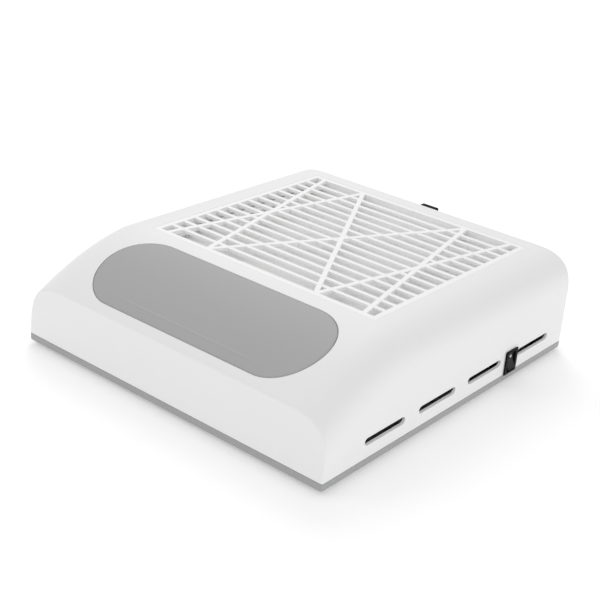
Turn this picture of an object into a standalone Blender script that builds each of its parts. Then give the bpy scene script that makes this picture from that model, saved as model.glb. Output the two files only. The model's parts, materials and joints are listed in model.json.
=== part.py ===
"""Desktop nail dust collector: a low white housing with a grille on top, a soft palm
rest on its sloped front, a pleated filter in a drawer that slides out of the rear,
and a centrifugal fan that blows out through slots in both side walls.

The body frame has +X to the right, -Y to the user and +Z up, with Z = 0 on the table.
"""
import math
import bmesh
import bpy
from mathutils import Matrix, Vector

# ---- sizes in metres -------------------------------------------------------------
GAP = 0.0003                 # clearance between pieces that touch

BODY_WIDTH = 0.260
BODY_DEPTH = 0.2808
TOP_HEIGHT = 0.0721          # flat top above the underside of the pan
FOOT_PROUD = 0.0025          # the feet hold the pan off the table
WALL = 0.0028                # shell wall
SIDE_DRAFT = 0.01
SHOULDER_WIDTH = 0.032       # quarter superellipse between the side wall and the top
SHOULDER_DROP = 0.030
SHOULDER_POWER = 2.8
SHOULDER_STEPS = 8
FRONT_EDGE_HEIGHT = 0.0444   # top of the front face above the underside of the pan
FRONT_LEAN = 0.0024
SLOPE_RUN = 0.074
SLOPE_BULGE = 0.0044
SLOPE_STEPS = 7
REAR_FILLET = 0.0057
CORNER_RADIUS = 0.002

BAND_HEIGHT = 0.0058
PAN_FLOOR = 0.0022
LIP_HEIGHT = 0.004           # the pan's locating lip, inside the shell wall
LIP_WALL = 0.0016
LIP_CLEARANCE = 0.0004
FOOT_RADIUS = 0.007
FOOT_SEAT = 0.001
FOOT_INSET = 0.024

PAD_WIDTH = 0.1892
PAD_FRONT = 0.009            # pad edge behind the front of the body
PAD_RUN = 0.0611             # pad length over the slope, seen from above
PAD_RECESS = 0.0015
PAD_PROUD = 0.0002
PAD_GROOVE = 0.0004

GRILLE_WIDTH = 0.195
GRILLE_FRONT = 0.0829        # grille's front edge behind the front of the body
GRILLE_LENGTH = 0.1815
GRILLE_BORDER = 0.0043
SLAT_COUNT = 14
SLAT_PITCH = 0.01144
SLAT_WIDTH = 0.0034
SLAT_DEPTH = 0.0024
SLAT_SUNK = 0.0002
BRACE_WIDTH = 0.0036
BRACE_DEPTH = 0.0027
BRACE_INSET = 0.0072         # outer brace ends from the side of the opening
BRACE_STEP = 0.0385          # outer to inner brace ends
PEG_RADIUS = 0.0009
PEG_LENGTH = 0.0033

DRAWER_HEIGHT = 0.0085
DRAWER_BORDER = 0.004
DECK = 0.0016                  # top of the hollow rear end of the drawer
DRAWER_DROP = 0.0062         # drawer top below the top of the body
DRAWER_PLAY = 0.0016
DRAWER_FACE_HEIGHT = 0.0105
DRAWER_FACE_OVERHANG = 0.0025
GRID_BAR = 0.0025
GRID_DEPTH = 0.0015
PLEAT_PITCH = 0.0038
PLEAT_DEPTH = 0.0042
MEDIA_THICKNESS = 0.0007
RETAINER_HEIGHT = 0.0012
TAB_WIDTH = 0.0146
TAB_REACH = 0.0055
TAB_HEIGHT = 0.012
TAB_BELOW_TOP = 0.0019
TAB_STEM = (0.008, 0.004)

BAY_WALL = 0.002
BAY_DEPTH = 0.0215
BAY_FLANGE = 0.0055
RUNNER_WIDTH = 0.0076
EAR_REACH = 0.0095
INLET_RADIUS = 0.0495        # round air inlet in the bay's floor
COLLAR_WALL = 0.002
COLLAR_CLEARANCE = 0.0005    # inlet collar above the blades
GUARD_RIM = 0.0045
GUARD_HEIGHT = 0.002
GUARD_RINGS = (0.023, 0.037)

FAN_RADIUS = 0.074
FAN_PLATE = 0.002
BLADE_COUNT = 9
BLADE_INNER = 0.040
BLADE_HEIGHT = 0.0178
BLADE_THICKNESS = 0.0014
SHROUD_INNER = 0.054
FAN_BOTTOM = 0.024           # back plate above the table
CUP_RADIUS = 0.028
CUP_HEIGHT = 0.016

MOTOR_RADIUS = 0.022
MOTOR_WALL = 0.0012
SHAFT_RADIUS = 0.002
BEARING_RADIUS = 0.0056
BEARING_WIDTH = 0.0029
BRACKET_RADIUS = 0.041
BRACKET_THICKNESS = 0.002
MOUNT_RADIUS = 0.0335
MOUNT_COUNT = 3
POST_HEIGHT = 0.0053         # motor posts above the pan's floor

BOARD_SIZE = (0.084, 0.038, 0.0016)
BOARD_FRONT = 0.0195
BOARD_POST = 0.007

SLOT_LENGTH = 0.041
SLOT_HEIGHT = 0.006
SLOT_LEVEL = 0.017           # slot centres above the underside of the pan
SLOT_PLACES = (0.0593, 0.1153, 0.1713, 0.2343)   # slot centres behind the front

SWITCH_PLACE = 0.2046        # switch centre behind the front
SWITCH_LEVEL = 0.0143
SWITCH_FACE = (0.0148, 0.0176)
SWITCH_FLANGE = 0.0012
SWITCH_BODY = (0.0108, 0.016)
SWITCH_BACK = 0.0135
ROCKER_SIZE = (0.0084, 0.0124)
ROCKER_REST = math.radians(-10)

SOCKET_PLACE = 0.085         # socket centre to the right of the centre line
SOCKET_LEVEL = 0.0175
SOCKET_FLANGE = (0.024, 0.013, 0.0015)
SOCKET_BODY = (0.019, 0.010, 0.015)
SOCKET_MOUTH = (0.0158, 0.0072)
SOCKET_DEPTH = 0.0105
PIN_SPACING = 0.0086
PIN_RADIUS = 0.0012

SCREW_SHANK = 0.0014
SCREW_HEAD = (0.0032, 0.0022)
BOSS_RADIUS = 0.0055
BOSS_INSET = (0.0057, 0.0112)    # case screws, in from the inside of the wall
LEAD_RADIUS = 0.001

# ---- places worked out from the sizes ----------------------------------------------
HALF_WIDTH = BODY_WIDTH / 2
FRONT = -BODY_DEPTH / 2
REAR = BODY_DEPTH / 2
PAN_BOTTOM = FOOT_PROUD
PAN_TOP = PAN_BOTTOM + BAND_HEIGHT
FLOOR_TOP = PAN_BOTTOM + PAN_FLOOR
LIP_TOP = PAN_TOP + LIP_HEIGHT
SHELL_BOTTOM = PAN_TOP + GAP
TOP = PAN_BOTTOM + TOP_HEIGHT
UNDER_TOP = TOP - WALL
FRONT_EDGE = PAN_BOTTOM + FRONT_EDGE_HEIGHT
SLOPE_FRONT = FRONT + FRONT_LEAN

GRILLE_HALF = GRILLE_WIDTH / 2
GRILLE_NEAR = FRONT + GRILLE_FRONT
GRILLE_FAR = GRILLE_NEAR + GRILLE_LENGTH
GRILLE_MIDDLE = (GRILLE_NEAR + GRILLE_FAR) / 2
OPEN_HALF = GRILLE_HALF - GRILLE_BORDER
OPEN_NEAR = GRILLE_NEAR + GRILLE_BORDER
OPEN_FAR = GRILLE_FAR - GRILLE_BORDER
PANEL_BOTTOM = UNDER_TOP

BAY_TOP = UNDER_TOP - GAP
BAY_HALF = OPEN_HALF + GAP                      # inner half width of the bay
BAY_NEAR = OPEN_NEAR - DRAWER_PLAY
BAY_FAR = REAR - WALL - GAP
BAY_BOTTOM = BAY_TOP - BAY_DEPTH
BAY_FLOOR = BAY_BOTTOM + BAY_WALL

DRAWER_TOP = TOP - DRAWER_DROP
DRAWER_BOTTOM = DRAWER_TOP - DRAWER_HEIGHT
DRAWER_HALF = BAY_HALF - DRAWER_PLAY
DRAWER_NEAR = BAY_NEAR + DRAWER_PLAY / 3
FACE_TOP = DRAWER_TOP + GAP
FACE_BOTTOM = FACE_TOP - DRAWER_FACE_HEIGHT
FACE_HALF = DRAWER_HALF + DRAWER_FACE_OVERHANG
TRAY_HALF = DRAWER_HALF - DRAWER_BORDER
TRAY_NEAR = DRAWER_NEAR + DRAWER_BORDER
TRAY_FAR = GRILLE_FAR - GRILLE_BORDER / 2
MEDIA_BOTTOM = DRAWER_BOTTOM + GRID_DEPTH + GAP
TAB_TOP = TOP - TAB_BELOW_TOP

FAN_Y = GRILLE_MIDDLE
FAN_TOP_OF_PLATE = FAN_BOTTOM + FAN_PLATE
BLADE_TOP = FAN_TOP_OF_PLATE + BLADE_HEIGHT
CUP_TOP = FAN_TOP_OF_PLATE + CUP_HEIGHT
POST_TOP = FLOOR_TOP + POST_HEIGHT
BRACKET_BOTTOM = POST_TOP + 0.0036
BRACKET_TOP = BRACKET_BOTTOM + BRACKET_THICKNESS
MOTOR_BOTTOM = BRACKET_TOP + GAP
MOTOR_TOP = CUP_TOP - 0.004
SHAFT_TOP = BAY_BOTTOM + 0.001

SWITCH_Y = FRONT + SWITCH_PLACE
SWITCH_Z = PAN_BOTTOM + SWITCH_LEVEL
SWITCH_FRONT = HALF_WIDTH + SWITCH_FLANGE + 0.0001
ROCKER_X = SWITCH_FRONT - 0.005
SWITCH_REAR = SWITCH_FRONT - SWITCH_FLANGE - SWITCH_BACK

SOCKET_Z = PAN_BOTTOM + SOCKET_LEVEL
SOCKET_FACE = REAR + GAP + SOCKET_FLANGE[2]
SOCKET_REAR = REAR - SOCKET_BODY[2]

BOARD_NEAR = FRONT + BOARD_FRONT
BOARD_FAR = BOARD_NEAR + BOARD_SIZE[1]
BOARD_BOTTOM = FLOOR_TOP + BOARD_POST + GAP
BOARD_TOP = BOARD_BOTTOM + BOARD_SIZE[2]

BOSS_X = HALF_WIDTH - WALL - BOSS_INSET[0]
BOSS_Y = REAR - WALL - BOSS_INSET[1]
BOSS_PLACES = [(sx * BOSS_X, sy * BOSS_Y) for sx in (-1, 1) for sy in (-1, 1)]
EAR_X = BAY_HALF + BAY_WALL + EAR_REACH
EAR_PLACES = [(s * EAR_X, y) for s in (-1, 1) for y in (GRILLE_NEAR + 0.02, GRILLE_FAR - 0.02)]
EAR_TOP = BAY_TOP - 0.0095
EAR_BOTTOM = EAR_TOP - BAY_WALL
MOUNT_PLACES = [(MOUNT_RADIUS * math.cos(a), FAN_Y + MOUNT_RADIUS * math.sin(a))
                for a in (math.radians(90 + 360 * i / MOUNT_COUNT) for i in range(MOUNT_COUNT))]
BOARD_POSTS = [(s * (BOARD_SIZE[0] / 2 - 0.005), y)
               for s, y in ((-1, BOARD_NEAR + 0.005), (1, BOARD_FAR - 0.005))]
FOOT_PLACES = [(sx * (HALF_WIDTH - FOOT_INSET), sy * (REAR - FOOT_INSET))
               for sx in (-1, 1) for sy in (-1, 1)]
PEG_PLACES = [(s * (OPEN_HALF + 0.0023), GRILLE_MIDDLE + d)
              for s in (-1, 1) for d in (-0.07, 0, 0.07)]
FAR_OUT = 0.02               # how far a cutter runs past what it cuts


# ---- helpers -------------------------------------------------------------------------
def clear_scene():
    for obj in list(bpy.data.objects):
        bpy.data.objects.remove(obj)


def collection(name):
    found = bpy.data.collections.new(name)
    bpy.context.scene.collection.children.link(found)
    return found


def finish_of(name, colour, roughness, metallic=0.0):
    made = bpy.data.materials.new(name)
    made.use_nodes = True
    shader = made.node_tree.nodes["Principled BSDF"]
    shader.inputs["Base Color"].default_value = (*colour, 1)
    shader.inputs["Roughness"].default_value = roughness
    shader.inputs["Metallic"].default_value = metallic
    return made


def piece(name, mesh, finish):
    """Link a mesh as a named piece; a piece without a finish is a cutter or a guide."""
    obj = bpy.data.objects.new(name, mesh)
    if finish is None:
        TOOLS.objects.link(obj)
        obj.hide_render = True
        obj.display_type = "WIRE"
    else:
        PARTS.objects.link(obj)
        obj.data.materials.append(finish)
    obj.parent = HOME
    return obj


def mesh_from(name, bm, smooth=0.6):
    bmesh.ops.recalc_face_normals(bm, faces=bm.faces)
    mesh = bpy.data.meshes.new(name)
    bm.to_mesh(mesh)
    bm.free()
    mesh.shade_smooth()
    mesh.set_sharp_from_angle(angle=smooth)
    return mesh


def add_box(bm, x, y, z):
    made = bmesh.ops.create_cube(bm, size=1)["verts"]
    size = (x[1] - x[0], y[1] - y[0], z[1] - z[0])
    centre = Vector(((x[0] + x[1]) / 2, (y[0] + y[1]) / 2, (z[0] + z[1]) / 2))
    bmesh.ops.scale(bm, vec=size, verts=made)
    bmesh.ops.translate(bm, vec=centre, verts=made)
    return made


def add_cylinder(bm, radius, span, centre, axis="Z", segments=16):
    """A capped cylinder along an axis; span is its two ends, centre the other two values."""
    made = bmesh.ops.create_cone(bm, cap_ends=True, segments=segments, radius1=radius,
                                 radius2=radius, depth=span[1] - span[0])["verts"]
    middle = (span[0] + span[1]) / 2
    a, b = centre
    turn, place = {
        "Z": (Matrix.Identity(3), (a, b, middle)),
        "Y": (Matrix.Rotation(math.pi / 2, 3, "X"), (a, middle, b)),
        "X": (Matrix.Rotation(math.pi / 2, 3, "Y"), (middle, a, b)),
    }[axis]
    bmesh.ops.rotate(bm, matrix=turn, verts=made)
    bmesh.ops.translate(bm, vec=place, verts=made)
    return made


def add_prism(bm, outline, offset):
    """A flat outline, given as points, swept by an offset."""
    face = bm.faces.new([bm.verts.new(p) for p in outline])
    swept = bmesh.ops.extrude_face_region(bm, geom=[face])["geom"]
    moved = [v for v in swept if isinstance(v, bmesh.types.BMVert)]
    bmesh.ops.translate(bm, vec=offset, verts=moved)


def boxes(name, finish, *spans):
    bm = bmesh.new()
    for x, y, z in spans:
        add_box(bm, x, y, z)
    return piece(name, mesh_from(name, bm), finish)


def cylinders(name, finish, radius, span, centres, axis="Z", segments=16):
    bm = bmesh.new()
    for centre in centres:
        add_cylinder(bm, radius, span, centre, axis, segments)
    return piece(name, mesh_from(name, bm), finish)


def turned(name, finish, profile, centre=(0, 0), steps=24):
    """A closed (radius, height) outline turned about a vertical axis at centre."""
    mesh = bpy.data.meshes.new(name)
    points = [(r, 0, z) for r, z in profile]
    edges = [(i, (i + 1) % len(points)) for i in range(len(points))]
    mesh.from_pydata(points, edges, [])
    obj = piece(name, mesh, finish)
    obj.location = (*centre, 0)
    screw = obj.modifiers.new("turn", "SCREW")
    screw.steps = steps
    screw.render_steps = steps
    screw.use_merge_vertices = True
    screw.merge_threshold = 0.00001
    screw.use_smooth_shade = True
    return obj


def tube(name, finish, points, radius):
    curve = bpy.data.curves.new(name, "CURVE")
    curve.dimensions = "3D"
    curve.bevel_depth = radius
    curve.bevel_resolution = 1
    curve.use_fill_caps = True
    curve.resolution_u = 1
    spline = curve.splines.new("POLY")
    spline.points.add(len(points) - 1)
    for target, point in zip(spline.points, points):
        target.co = (*point, 1)
    return piece(name, curve, finish)


def smooth_route(points, steps=3):
    """Points of a Catmull-Rom curve through the given points."""
    ends = [points[0], *points, points[-1]]
    route = []
    for a, b, c, d in zip(ends, ends[1:], ends[2:], ends[3:]):
        a, b, c, d = (Vector(p) for p in (a, b, c, d))
        for i in range(steps):
            t = i / steps
            route.append(0.5 * (2 * b + (c - a) * t + (2 * a - 5 * b + 4 * c - d) * t * t
                                + (3 * b - a - 3 * c + d) * t ** 3))
    return [*route, Vector(points[-1])]


def combine(obj, tool, operation):
    step = obj.modifiers.new(operation.lower(), "BOOLEAN")
    step.operation = operation
    step.object = tool
    return obj


def cut(obj, tool):
    return combine(obj, tool, "DIFFERENCE")


def unite(obj, tool):
    return combine(obj, tool, "UNION")


def stadium(length, height, steps=5):
    """Outline of a slot with round ends, centred, as (along, up) points."""
    r = height / 2
    straight = length / 2 - r
    turns = [math.pi * i / steps for i in range(steps + 1)]
    right = [(straight + r * math.sin(t), -r * math.cos(t)) for t in turns]
    return right + [(-u, -v) for u, v in right]


# ---- housing -------------------------------------------------------------------------
def crown(y):
    """Height of the body's top surface at a place along its depth."""
    t = min(max((y - SLOPE_FRONT) / SLOPE_RUN, 0), 1)
    return FRONT_EDGE + (TOP - FRONT_EDGE) * t + 4 * SLOPE_BULGE * t * (1 - t)


def body_section(crest, inset):
    """(x, z) points of the body's cross-section, from the right foot over to the left."""
    reach = SHOULDER_WIDTH - inset
    rise = SHOULDER_DROP - inset
    spring = crest - rise
    foot = HALF_WIDTH - inset - SIDE_DRAFT * (SHELL_BOTTOM - PAN_BOTTOM)
    wall = HALF_WIDTH - inset - SIDE_DRAFT * (spring - PAN_BOTTOM)
    half = [(foot, SHELL_BOTTOM)]
    for i in range(SHOULDER_STEPS + 1):
        a = math.pi / 2 * i / SHOULDER_STEPS
        out = math.cos(a) ** (2 / SHOULDER_POWER) if i < SHOULDER_STEPS else 0
        up = math.sin(a) ** (2 / SHOULDER_POWER)
        half.append((wall - reach + reach * out, spring + rise * up))
    return half + [(-x, z) for x, z in reversed(half)]


def body_stations():
    """Cross-sections from front to rear, each a list of (x, y, z)."""
    lean = FRONT_LEAN / (FRONT_EDGE - SHELL_BOTTOM)
    stations = [[(x, FRONT + lean * (z - SHELL_BOTTOM), z)
                 for x, z in body_section(FRONT_EDGE, 0)]]
    for i in range(1, SLOPE_STEPS + 1):
        y = SLOPE_FRONT + SLOPE_RUN * i / SLOPE_STEPS
        stations.append([(x, y, z) for x, z in body_section(crown(y), 0)])
    for i in range(5):
        a = math.pi / 2 * i / 4
        inset = REAR_FILLET * (1 - math.cos(a))
        y = REAR - REAR_FILLET * (1 - math.sin(a))
        stations.append([(x, y, z) for x, z in body_section(TOP - inset, inset)])
    return stations


def make_shell():
    bm = bmesh.new()
    weight = bm.edges.layers.float.new("bevel_weight_edge")
    rows = [[bm.verts.new(p) for p in station] for station in body_stations()]
    for near, far in zip(rows, rows[1:]):
        for a, b, c, d in zip(near, near[1:], far[1:], far):
            bm.faces.new((a, b, c, d))
    front = bm.faces.new(rows[0])
    bm.faces.new(reversed(rows[-1]))
    for edge in front.edges:
        if not edge.is_boundary:
            edge[weight] = 1
    shell = piece("top_shell", mesh_from("top_shell", bm), WHITE)
    hollow = shell.modifiers.new("wall", "SOLIDIFY")
    hollow.thickness = WALL
    hollow.offset = -1
    hollow.use_even_offset = True
    corner = shell.modifiers.new("corners", "BEVEL")
    corner.limit_method = "WEIGHT"
    corner.width = CORNER_RADIUS
    corner.segments = 2
    posts = []
    for x, y in BOSS_PLACES:
        s = math.copysign(1, x)
        wide = sorted((x - s * 0.0045, s * (HALF_WIDTH - WALL + 0.001)))
        posts.append((wide, (y - 0.0045, y + 0.0045), (LIP_TOP + GAP, LIP_TOP + 0.018)))
    unite(shell, boxes("shell_posts", None, *posts))
    unite(shell, cylinders("shell_bosses", None, 0.0035, (EAR_TOP + GAP, TOP - WALL / 2), EAR_PLACES))
    cut(shell, cylinders("shell_screw_holes", None, SCREW_SHANK + GAP,
                         (LIP_TOP - 0.001, LIP_TOP + 0.014), BOSS_PLACES, segments=12))
    cut(shell, cylinders("shell_ear_holes", None, SCREW_SHANK + GAP,
                         (EAR_TOP - 0.001, UNDER_TOP - 0.001), EAR_PLACES, segments=12))
    cut(shell, pad_block("pad_recess", None, PAD_GROOVE, -PAD_RECESS, FAR_OUT))
    cut(shell, boxes("grille_opening", None,
                     ((-GRILLE_HALF - GAP, GRILLE_HALF + GAP),
                      (GRILLE_NEAR - GAP, GRILLE_FAR + GAP), (TOP - 3 * WALL, TOP + FAR_OUT)),
                     ((-FACE_HALF - GAP, FACE_HALF + GAP), (REAR - 3 * WALL, REAR + FAR_OUT),
                      (FACE_BOTTOM - GAP, FACE_TOP + GAP))))
    slots = bmesh.new()
    for place in SLOT_PLACES:
        outline = [(-HALF_WIDTH - FAR_OUT, FRONT + place + u, PAN_BOTTOM + SLOT_LEVEL + v)
                   for u, v in stadium(SLOT_LENGTH, SLOT_HEIGHT)]
        add_prism(slots, outline, (BODY_WIDTH + 2 * FAR_OUT, 0, 0))
    cut(shell, piece("side_slots", mesh_from("side_slots", slots), None))
    half_y = SWITCH_BODY[0] / 2 + 0.0004
    half_z = SWITCH_BODY[1] / 2 + 0.0004
    wide = SOCKET_BODY[0] / 2 + 0.0004
    high = SOCKET_BODY[1] / 2 + 0.0004
    cut(shell, boxes("switch_and_socket_holes", None,
                     ((HALF_WIDTH - 3 * WALL, HALF_WIDTH + FAR_OUT),
                      (SWITCH_Y - half_y, SWITCH_Y + half_y), (SWITCH_Z - half_z, SWITCH_Z + half_z)),
                     ((SOCKET_PLACE - wide, SOCKET_PLACE + wide), (REAR - 3 * WALL, REAR + FAR_OUT),
                      (SOCKET_Z - high, SOCKET_Z + high))))


def pad_block(name, finish, margin, low, high):
    """The palm rest's outline from above, between two heights over the sloped surface."""
    radius = PAD_RUN / 2
    middle = FRONT + PAD_FRONT + radius
    straight = PAD_WIDTH / 2 - radius
    bm = bmesh.new()
    rows = []
    steps = 16
    for i in range(steps + 1):
        a = math.pi * i / steps
        y = middle - (radius + margin) * math.cos(a)
        x = straight + (radius + margin) * math.sin(a)
        z = crown(y)
        rows.append([bm.verts.new(p) for p in ((x, y, z + low), (x, y, z + high),
                                               (-x, y, z + high), (-x, y, z + low))])
    for near, far in zip(rows, rows[1:]):
        for k in range(4):
            bm.faces.new((near[k], near[(k + 1) % 4], far[(k + 1) % 4], far[k]))
    bm.faces.new(rows[0])
    bm.faces.new(reversed(rows[-1]))
    return piece(name, mesh_from(name, bm), finish)


def rounded_block(name, finish, inset, z):
    """The body's footprint, with its small front corners and larger rear ones."""
    bm = bmesh.new()
    add_box(bm, (-HALF_WIDTH + inset, HALF_WIDTH - inset), (FRONT + inset, REAR - inset), z)
    for rear, radius in ((False, CORNER_RADIUS), (True, REAR_FILLET)):
        edges = [e for e in bm.edges
                 if abs(e.verts[0].co.z - e.verts[1].co.z) > 0.001 and (e.verts[0].co.y > 0) == rear]
        bmesh.ops.bevel(bm, geom=edges, offset=max(radius - inset, CORNER_RADIUS), segments=4,
                        affect="EDGES", profile=0.5, material=-1)
    return piece(name, mesh_from(name, bm), finish)


def make_pan():
    lip = WALL + LIP_CLEARANCE
    pan = rounded_block("base_pan", GREY, 0, (PAN_BOTTOM, PAN_TOP))
    unite(pan, rounded_block("pan_lip", None, lip, (PAN_BOTTOM + 0.001, LIP_TOP)))
    cut(pan, rounded_block("pan_inside", None, lip + LIP_WALL, (FLOOR_TOP, LIP_TOP + FAR_OUT)))
    cut(pan, boxes("pan_switch_notch", None,
                   ((HALF_WIDTH - 0.012, HALF_WIDTH - WALL / 2),
                    (SWITCH_Y - 0.008, SWITCH_Y + 0.008), (PAN_TOP, LIP_TOP + FAR_OUT))))
    low = PAN_BOTTOM + PAN_FLOOR / 2
    unite(pan, cylinders("pan_bosses", None, BOSS_RADIUS, (low, LIP_TOP), BOSS_PLACES))
    unite(pan, cylinders("pan_motor_posts", None, 0.005, (low, POST_TOP), MOUNT_PLACES))
    unite(pan, cylinders("pan_board_posts", None, 0.003, (low, FLOOR_TOP + BOARD_POST), BOARD_POSTS,
                         segments=12))
    cut(pan, cylinders("pan_counterbores", None, SCREW_HEAD[0] + 0.0004,
                       (PAN_BOTTOM - FAR_OUT, LIP_TOP - 0.003), BOSS_PLACES))
    cut(pan, cylinders("pan_screw_holes", None, SCREW_SHANK + 0.0004,
                       (LIP_TOP - 0.004, LIP_TOP + FAR_OUT), BOSS_PLACES, segments=12))
    cut(pan, cylinders("pan_post_holes", None, SCREW_SHANK + GAP,
                       (FLOOR_TOP, POST_TOP + FAR_OUT), MOUNT_PLACES, segments=12))
    cut(pan, cylinders("pan_board_holes", None, 0.0011,
                       (FLOOR_TOP, FLOOR_TOP + FAR_OUT), BOARD_POSTS, segments=8))
    cut(pan, cylinders("foot_seats", None, FOOT_RADIUS + GAP,
                       (PAN_BOTTOM - FAR_OUT, PAN_BOTTOM + FOOT_SEAT), FOOT_PLACES))
    sides = ("left", "right")
    ends = ("front", "rear")
    for (x, y), (side, end) in zip(FOOT_PLACES, ((s, e) for s in sides for e in ends)):
        cylinders(f"foot_{side}_{end}", RUBBER, FOOT_RADIUS,
                  (0, PAN_BOTTOM + FOOT_SEAT - GAP), [(x, y)])
    for (x, y), (side, end) in zip(BOSS_PLACES, ((s, e) for s in sides for e in ends)):
        screw(f"case_screw_{side}_{end}", (x, y), LIP_TOP - 0.003 - GAP, LIP_TOP + 0.012)


def screw(name, centre, seat, tip, shank=SCREW_SHANK, head=SCREW_HEAD):
    """A pan-head screw: its head lies on the seat, on the side away from the tip."""
    far = seat - math.copysign(head[1], tip - seat)
    made = cylinders(name, STEEL, head[0], sorted((seat, far)), [centre], segments=12)
    return unite(made, cylinders(name + "_shank", None, shank, sorted(((seat + far) / 2, tip)),
                                 [centre], segments=8))


# ---- grille and filter -----------------------------------------------------------------
def make_grille():
    panel = boxes("grille_panel", WHITE, ((-GRILLE_HALF, GRILLE_HALF), (GRILLE_NEAR, GRILLE_FAR),
                                          (PANEL_BOTTOM, TOP)))
    cut(panel, boxes("grille_window", None, ((-OPEN_HALF, OPEN_HALF), (OPEN_NEAR, OPEN_FAR),
                                             (PANEL_BOTTOM - FAR_OUT, TOP + FAR_OUT))))
    slats = []
    for i in range(SLAT_COUNT):
        y = GRILLE_MIDDLE + SLAT_PITCH * (i - (SLAT_COUNT - 1) / 2)
        slats.append(((-OPEN_HALF - 0.001, OPEN_HALF + 0.001), (y - SLAT_WIDTH / 2, y + SLAT_WIDTH / 2),
                      (TOP - SLAT_SUNK - SLAT_DEPTH, TOP - SLAT_SUNK)))
    unite(panel, boxes("grille_slats", None, *slats))
    outer = OPEN_HALF - BRACE_INSET
    ends = (-outer, BRACE_STEP - outer, outer - BRACE_STEP, outer)
    for name, flip in (("braces_down", 1), ("braces_up", -1)):
        bm = bmesh.new()
        for a, b in zip(ends, ends[1:]):
            add_brace(bm, (a, GRILLE_MIDDLE + flip * (OPEN_FAR - GRILLE_MIDDLE + 0.001)),
                      (b, GRILLE_MIDDLE - flip * (OPEN_FAR - GRILLE_MIDDLE + 0.001)))
        unite(panel, piece(name, mesh_from(name, bm), None))
    unite(panel, cylinders("grille_pegs", None, PEG_RADIUS, (PANEL_BOTTOM - PEG_LENGTH, TOP - WALL / 2),
                           PEG_PLACES, segments=8))


def add_brace(bm, start, end):
    """A straight flat bar between two places on the grille."""
    run = Vector(end) - Vector(start)
    side = Vector((-run.y, run.x)).normalized() * BRACE_WIDTH / 2
    corners = [Vector(start) + side, Vector(start) - side, Vector(end) - side, Vector(end) + side]
    add_prism(bm, [(c.x, c.y, TOP - BRACE_DEPTH) for c in corners], (0, 0, BRACE_DEPTH))


def make_filter():
    drawer = boxes("filter_drawer", WHITE, ((-DRAWER_HALF, DRAWER_HALF), (DRAWER_NEAR, REAR - WALL),
                                            (DRAWER_BOTTOM, DRAWER_TOP)))
    face = boxes("drawer_face", None, ((-FACE_HALF, FACE_HALF), (REAR - WALL - GAP / 3, REAR),
                                       (FACE_BOTTOM, FACE_TOP)))
    cut(drawer, boxes("drawer_window", None,
                      ((-TRAY_HALF, TRAY_HALF), (TRAY_NEAR, TRAY_FAR),
                       (DRAWER_BOTTOM - FAR_OUT, DRAWER_TOP + FAR_OUT)),
                      ((-TRAY_HALF, TRAY_HALF), (TRAY_FAR + DRAWER_BORDER, REAR - WALL - 0.002),
                       (DRAWER_BOTTOM - FAR_OUT, DRAWER_TOP - DECK))))
    unite(drawer, face)
    long_bars = []
    for i in (-1, 0, 1):
        x = i * TRAY_HALF / 2
        long_bars.append(((x - GRID_BAR / 2, x + GRID_BAR / 2), (TRAY_NEAR - 0.001, TRAY_FAR + 0.001),
                          (DRAWER_BOTTOM, DRAWER_BOTTOM + GRID_DEPTH)))
    cross_bars = []
    for i in (1, 2, 3):
        y = TRAY_NEAR + (TRAY_FAR - TRAY_NEAR) * i / 4
        cross_bars.append(((-TRAY_HALF - 0.001, TRAY_HALF + 0.001), (y - GRID_BAR / 2, y + GRID_BAR / 2),
                           (DRAWER_BOTTOM, DRAWER_BOTTOM + GRID_DEPTH)))
    unite(drawer, boxes("drawer_long_bars", None, *long_bars))
    unite(drawer, boxes("drawer_cross_bars", None, *cross_bars))
    stem = (TAB_STEM[0] / 2, TAB_STEM[1] / 2)
    stem_z = (FACE_BOTTOM + FACE_TOP) / 2
    cut(drawer, boxes("tab_hole", None,
                      ((-stem[0] - GAP, stem[0] + GAP), (REAR - WALL - 0.003, REAR + FAR_OUT),
                       (stem_z - stem[1] - GAP, stem_z + stem[1] + GAP))))
    tab = boxes("filter_pull_tab", BLACK, ((-TAB_WIDTH / 2, TAB_WIDTH / 2),
                                           (REAR + GAP, REAR + GAP + TAB_REACH),
                                           (TAB_TOP - TAB_HEIGHT, TAB_TOP)))
    soften = tab.modifiers.new("round", "BEVEL")
    soften.width = 0.0008
    soften.segments = 2
    unite(tab, boxes("tab_stem", None, ((-stem[0], stem[0]), (REAR - WALL - 0.001, REAR + 0.002),
                                        (stem_z - stem[1], stem_z + stem[1]))))
    make_media()
    ring = boxes("filter_retainer", WHITE, ((-TRAY_HALF + GAP, TRAY_HALF - GAP),
                                            (TRAY_NEAR + GAP, TRAY_FAR - GAP),
                                            (DRAWER_TOP - RETAINER_HEIGHT, DRAWER_TOP)))
    cut(ring, boxes("retainer_window", None, ((-TRAY_HALF + 0.003, TRAY_HALF - 0.003),
                                              (TRAY_NEAR + 0.003, TRAY_FAR - 0.003),
                                              (DRAWER_TOP - FAR_OUT, DRAWER_TOP + FAR_OUT))))


def make_media():
    """The pleated filter sheet: a zigzag of constant thickness, swept across the drawer."""
    room = TRAY_FAR - TRAY_NEAR - 2 * GAP
    pleats = int(room / PLEAT_PITCH)
    step = room / (2 * pleats)
    lower = [(TRAY_NEAR + GAP + step * i, MEDIA_BOTTOM + (PLEAT_DEPTH if i % 2 else 0))
             for i in range(2 * pleats + 1)]
    upper = [(y, z + MEDIA_THICKNESS) for y, z in reversed(lower)]
    half = TRAY_HALF - GAP
    bm = bmesh.new()
    add_prism(bm, [(-half, y, z) for y, z in lower + upper], (2 * half, 0, 0))
    piece("filter_media", mesh_from("filter_media", bm), PAPER)


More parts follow.
